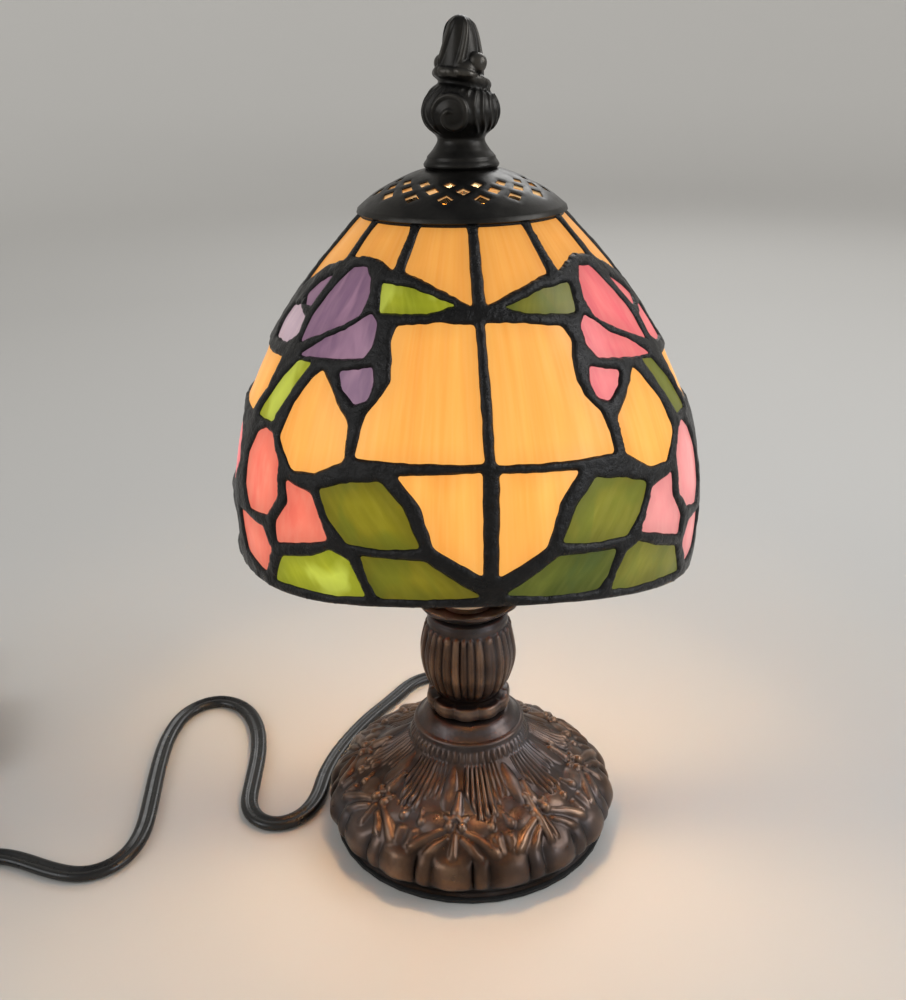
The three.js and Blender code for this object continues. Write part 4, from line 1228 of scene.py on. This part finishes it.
BULB_OUTER = spline(
    [
        (0.3, 190.9), (1.2, 190.6), (3, 188.6), (7.4, 184), (13, 173), (16.1, 161), (16.3, 150), (13.6, 138),
        (9, 128), (7, 124.6), (6.9, 122.2),
    ],
    1.2,
)
BULB_INNER = BULB_OUTER[::-1] * [0.94, 1] + [0, -0.4]
BULB_INNER[0, 1] = 122.2
bulb = turned(
    "bulb_blown", BULB_OUTER, BULB_INNER, 72, None, bulb_glass, "clear_glass", "bulb_envelope", body="bulb",
    sharp=80,
)
bulb.visible_shadow = False


def add_filament():
    """A coiled wire that arches between its two supports."""
    support = [(-4.6, 0, 139), (-5.4, 0, 148), (-6, 0, 159.4)]
    coil = []
    for t in np.linspace(0, 1, 240):
        turn = t * 2 * math.pi * 17
        rise = 2 * math.sin(math.pi * t)
        coil.append((-6 + 12 * t, 1.1 * math.sin(turn), 159.4 + 1.1 * math.cos(turn) + rise))
    corners = np.linspace(0, 2 * math.pi, 6, endpoint=False)
    section = [(0.16 * math.cos(a), 0.16 * math.sin(a)) for a in corners]
    path = support + coil + [(-x, y, z) for x, y, z in support[::-1]]
    points, faces = swept(path, section, up=(0.1, 1, 0.2))
    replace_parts(build("filament_coil", points, faces, hot, "bulb", "tungsten", 80), "bulb_filament")


add_filament()
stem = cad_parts["bulb_stem"]
stem.data.materials.clear()
stem.data.materials.append(bulb_glass)
stem.visible_shadow = False

# ---------------------------------------------------------------- cord fittings


def add_bushing():
    """A strain relief moulded with slotted rings, lathed about the cord's exit."""
    profile = [
        (3.4, 44.2), (5.1, 44.2), (5.1, 45.3), (3.5, 45.4), (3.5, 52.4), (4.9, 52.7), (5.0, 54.4),
        (4.5, 55.1),
    ]
    for k in range(5):
        y = 56.2 + k * 1.9
        r = 4.35 - k * 0.16
        slot = r - 0.7
        profile += [(slot, y - 0.35), (slot, y + 0.15), (r, y + 0.45), (r, y + 1.15), (slot, y + 1.45)]
    profile += [(3.5, 65.8), (2.2, 66), (1.2, 66), (1.2, 44.2)]
    points, quads, _ = lathe(profile, 48)
    points = np.stack([points[:, 0] * 1.06, points[:, 2], 6.4 - points[:, 1] * 0.92], 1)
    bushing = build("strain_relief", points, quads[:, ::-1], black_plastic, "lamp", "black_rubber", 40)
    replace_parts(bushing, "cord_bushing")
    return bushing


def placed(points, centre, angle):
    """Points turned about the upright axis and moved to a centre on the table."""
    c, s = math.cos(angle), math.sin(angle)
    x, y, z = np.asarray(points, float).T
    return np.stack([centre[0] + x * c - y * s, centre[1] + x * s + y * c, z], 1)


def stadium(length, width, step=0.8):
    """An outline with straight sides and half round ends."""
    r = width / 2
    a = np.linspace(-math.pi / 2, math.pi / 2, 28)
    right = np.stack([length / 2 - r + r * np.cos(a), r * np.sin(a)], 1)
    return straight(np.vstack([right, -right]), step, True)


def plate(outline, holes, low, high, spacing=1.3):
    """A closed solid between two height functions of the distance from the outline."""
    flat, faces = meshed(outline, holes, spacing, spacing * 0.45)
    dense = straight(outline, 0.3, True)
    gap = nearest(flat, dense)
    top = np.column_stack([flat, high(gap, flat)])
    bottom = np.column_stack([flat, low(gap, flat)])
    return shell(flat, faces, top, bottom)


def rounded(gap, radius):
    """How far a rounded edge falls below the flat at a distance from the outline."""
    t = np.clip(1 - gap / radius, 0, 1)
    return radius * (1 - np.sqrt(1 - t * t * 0.98))


def level(height):
    """A height for plate that is the same everywhere."""
    return lambda gap, flat: height + 0 * gap


def cover_top(gap, flat):
    """The switch's crowned cover: rounded rim, grip ridges by both ends, a recess round the window."""
    crown = 0.5 * (flat[:, 0] / 28) ** 2
    grips = 0.28 * np.cos(flat[:, 0] * 2 * math.pi / 2.2) * (np.abs(np.abs(flat[:, 0]) - 16) < 3.3)
    from_window = np.maximum(np.abs(flat[:, 0]) - 8.8, np.abs(flat[:, 1]) - 5.8)
    return 15.5 - rounded(gap, 3.4) - crown + grips * (gap > 3) - 0.45 * fall(from_window, -0.2, 0.6)


def rocker_top(gap, flat):
    """A saddle with fine ridges on its two raised ends."""
    ridges = 0.12 * np.cos(flat[:, 0] * 5.2) * (np.abs(flat[:, 0]) > 3)
    return 1.4 + 1.2 * (flat[:, 0] / 7) ** 2 + ridges - rounded(gap, 0.7)


def add_moulding(name, mesh, centre, lean, body, node, sharp=42):
    """A black plastic piece laid out on the table in place of a CAD node."""
    points, faces = mesh
    obj = build(name, placed(points, centre, lean), faces, black_plastic, body, "black_plastic", sharp)
    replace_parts(obj, node)
    return obj


def add_switch():
    outline = stadium(56, 24)
    window = straight([(-7.8, -4.8), (7.8, -4.8), (7.8, 4.8), (-7.8, 4.8)], 0.8, True)
    cover = plate(outline, [window], level(7.9), cover_top, 0.9)
    top = add_moulding("switch_cover", cover, SWITCH, LEAN, "lamp", "switch_top")
    tray = plate(outline, [], lambda gap, flat: 0.05 + rounded(gap, 2.6), level(7.6), 1.3)
    under = add_moulding("switch_tray", tray, SWITCH, LEAN, "lamp", "switch_bottom")
    outline = straight([(-7, -4), (7, -4), (7, 4), (-7, 4)], 0.5, True)
    points, faces = plate(outline, [], lambda gap, flat: -2 + rounded(gap, 0.6), rocker_top, 0.6)
    tilt = math.radians(-8)
    c, s = math.cos(tilt), math.sin(tilt)
    x, y, z = points.T
    points = np.stack([x * c + z * s, y, 14.4 - x * s + z * c], 1)
    rocker = add_moulding("switch_rocker_moulded", (points, faces), SWITCH, LEAN, "rocker", "switch_rocker")
    return top, under, rocker


def plug_fall(gap, flat):
    """How far the plug's rounded, gripped faces fall below its flat."""
    grips = np.cos(flat[:, 0] * 2 * math.pi / 2.6) * smoothstep(flat[:, 0], -14, -12) * fall(flat[:, 0], 0, 2)
    return rounded(gap, 4.2) * 0.9 - 0.5 + np.where(gap > 2, 0.18 * grips, 0)


def plug_top(gap, flat):
    return 12.0 - plug_fall(gap, flat) - 2.2 * fall(flat[:, 0], -16, 4)


def plug_bottom(gap, flat):
    return 0.55 + plug_fall(gap, flat) + 1.98 * fall(flat[:, 0], -16, 4)


def add_plug():
    side = spline([(-16, 4.2), (-8, 6.6), (4, 11), (12, 12.4), (15, 12.2), (16, 11.2)], 0.8)
    outline = straight(np.vstack([side * [1, -1], side[::-1]]), 0.9, True)
    moulding = plate(outline, [], plug_bottom, plug_top, 0.9)
    body = add_moulding("plug_moulded", moulding, PLUG, PLUG_LEAN, "lamp", "plug_body", 45)
    outline = [(0, -3.1), (14.6, -3.1), (17, -1.8), (17, 1.8), (14.6, 3.1), (0, 3.1)]
    outline = straight(outline, 0.6, True)
    turns = np.linspace(0, 2 * math.pi, 18, endpoint=False)
    hole = np.stack([13 + 1.3 * np.cos(turns), 1.3 * np.sin(turns)], 1)
    thick = 0.72
    flat_blade, faces = plate(
        outline, [hole], lambda gap, flat: rounded(gap, 0.3) - thick,
        lambda gap, flat: thick - rounded(gap, 0.3), 0.8,
    )
    blades = []
    for name, y in (("left", 6.35), ("right", -6.35)):
        points = np.stack([16.3 + flat_blade[:, 0], y + flat_blade[:, 2], 6.2 - flat_blade[:, 1]], 1)
        blade = build(f"blade_{name}", placed(points, PLUG, PLUG_LEAN), faces, brass, "lamp", "brass", 40)
        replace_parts(blade, f"plug_blade_{name}")
        blades.append(blade)
    return [body, *blades]


def add_tie():
    """A flat, soft strap round the coil's bundle."""
    low, high = 0.75, 12.5
    inner, outer = COIL[0] - 31.6, COIL[0] - 46.0
    corner = 2
    loop = spline(
        [
            (inner, low + corner), (inner, high - corner), (inner - corner, high), (outer + corner, high),
            (outer, high - corner), (outer, low + corner), (outer + corner, low), (inner - corner, low),
        ],
        0.7, True,
    )
    middle = np.array([(inner + outer) / 2, (low + high) / 2])
    towards = middle - loop
    thick = 0.6 * towards / np.linalg.norm(towards, axis=1)[:, None]
    rows = []
    for offset, wide in ((0, -2.3), (0, 2.3), (1, 2.5), (1, -2.5)):
        p = loop + thick * offset
        rows.append(np.stack([p[:, 0], np.full(len(p), COIL[1] + wide), p[:, 1]], 1))
    n = len(loop)
    points = np.vstack(rows)
    faces = []
    for a, b in ((0, 1), (1, 2), (2, 3), (3, 0)):
        for i in range(n):
            j = (i + 1) % n
            faces.append([a * n + i, a * n + j, b * n + j, b * n + i])
    return add_moulding("strap", (points, faces), (0, 0), 0.0, "lamp", "coil_tie", 50)


bushing = add_bushing()
switch = add_switch()
plug = add_plug()
tie = add_tie()

# ---------------------------------------------------------------- CAD pieces kept, with finer edges

for names, material, bevel in (
    (("harp", "harp_stud", "threaded_rod", "lock_washer", "base_nut"), steel, 0.25),
    (("socket_contact",), brass, 0.2),
    (("base_pad",), felt, 0.3),
    (("inner_lead",), black_plastic, 0),
):
    for name in names:
        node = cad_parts[name]
        node.data.materials.clear()
        node.data.materials.append(material)
        if bevel:
            modifier = node.modifiers.new("edges", "BEVEL")
            modifier.width = bevel * MM
            modifier.segments = 2
            modifier.limit_method = "ANGLE"
            modifier.angle_limit = math.radians(38)
            modifier.harden_normals = False

# ---------------------------------------------------------------- floor and light

# A bowl, in metres: flat as far as 1.7 m out, then bent up into an upright wall.
SPOKES = 96
BEND_START, BEND_SIZE, WALL_TOP = 1.7, 1.3, 4.5
bowl = [(0.001, 0), (0.5, 0)]
for t in np.linspace(0, math.pi / 2, 25):
    bowl.append((BEND_START + BEND_SIZE * math.sin(t), BEND_SIZE * (1 - math.cos(t))))
bowl.append((BEND_START + BEND_SIZE, WALL_TOP))
floor_mesh = bpy.data.meshes.new("floor")
floor_mesh.from_pydata(
    [
        (r * math.cos(t), r * math.sin(t), z - 0.0004)
        for r, z in bowl for t in np.linspace(0, 2 * math.pi, SPOKES, endpoint=False)
    ],
    [],
    [
        (i + j, i + SPOKES + j, i + SPOKES + (j + 1) % SPOKES, i + (j + 1) % SPOKES)
        for i in range(0, SPOKES * (len(bowl) - 1), SPOKES) for j in range(SPOKES)
    ],
)
floor_mesh.shade_smooth()
floor = bpy.data.objects.new("floor", floor_mesh)
bpy.context.scene.collection.objects.link(floor)
ground = Shader("pale_floor", Roughness=0.6)
ground.set("Base Color", rgb("c9c7c3"))
# Painted light: the floor glows more the further out it lies, from 1 m on, which keeps the far floor and the
# wall bright.
away = ground.node("ShaderNodeVectorMath", 1, {0: ground.place((0.3, 0.3, 0))}, operation="LENGTH")
ground.set("Emission Color", rgb("c9c7c3"))
ground.set("Emission Strength", ground.ramp(away, (0.3, 0.0), (0.54, 0.13), (0.7, 0.26), (0.92, 0.34)))
floor_mesh.materials.append(ground.material)


def area_light(name, place, target, size, watts, colour):
    data = bpy.data.lights.new(name, "AREA")
    data.shape = "DISK"
    data.size = size
    data.energy = watts
    data.color = colour
    obj = bpy.data.objects.new(name, data)
    bpy.context.scene.collection.objects.link(obj)
    obj.location = place
    obj.rotation_euler = (Vector(target) - Vector(place)).to_track_quat("-Z", "Y").to_euler()
    return obj


# The lamp's own bulb, two point lights, warms the table and the inside of its cap, which also has a painted
# glow, and the studio's lights are cool.
area_light("key", (1.1, -0.15, 0.85), (0, 0, 0.1), 0.8, 8, (0.95, 0.97, 1.0))
area_light("fill", (-1.1, -0.5, 0.8), (0, 0, 0.1), 0.9, 4.5, (0.93, 0.96, 1.0))
area_light("back", (0.3, 1.2, 1.0), (0, 0, 0.15), 0.8, 5, (1.0, 1.0, 1.0))
area_light("rim", (0.75, -0.55, 0.36), (0, 0, 0.12), 0.3, 1.3, (0.82, 0.9, 1.0))
for name, watts, height in (("bulb_light", 0.4, 0.156), ("bulb_light_top", 0.3, 0.204)):
    inner = bpy.data.lights.new(name, "POINT")
    inner.energy = watts
    inner.color = (1.0, 0.66, 0.34)
    inner.shadow_soft_size = 0.008
    inner_object = bpy.data.objects.new(name, inner)
    inner_object.location = (0, 0, height)
    bpy.context.scene.collection.objects.link(inner_object)

world = bpy.data.worlds.new("studio")
world.use_nodes = True
background = world.node_tree.nodes["Background"]
background.inputs["Color"].default_value = (0.82, 0.84, 0.88, 1)
background.inputs["Strength"].default_value = 0.32
bpy.context.scene.world = world
bpy.context.scene.view_settings.view_transform = "Standard"
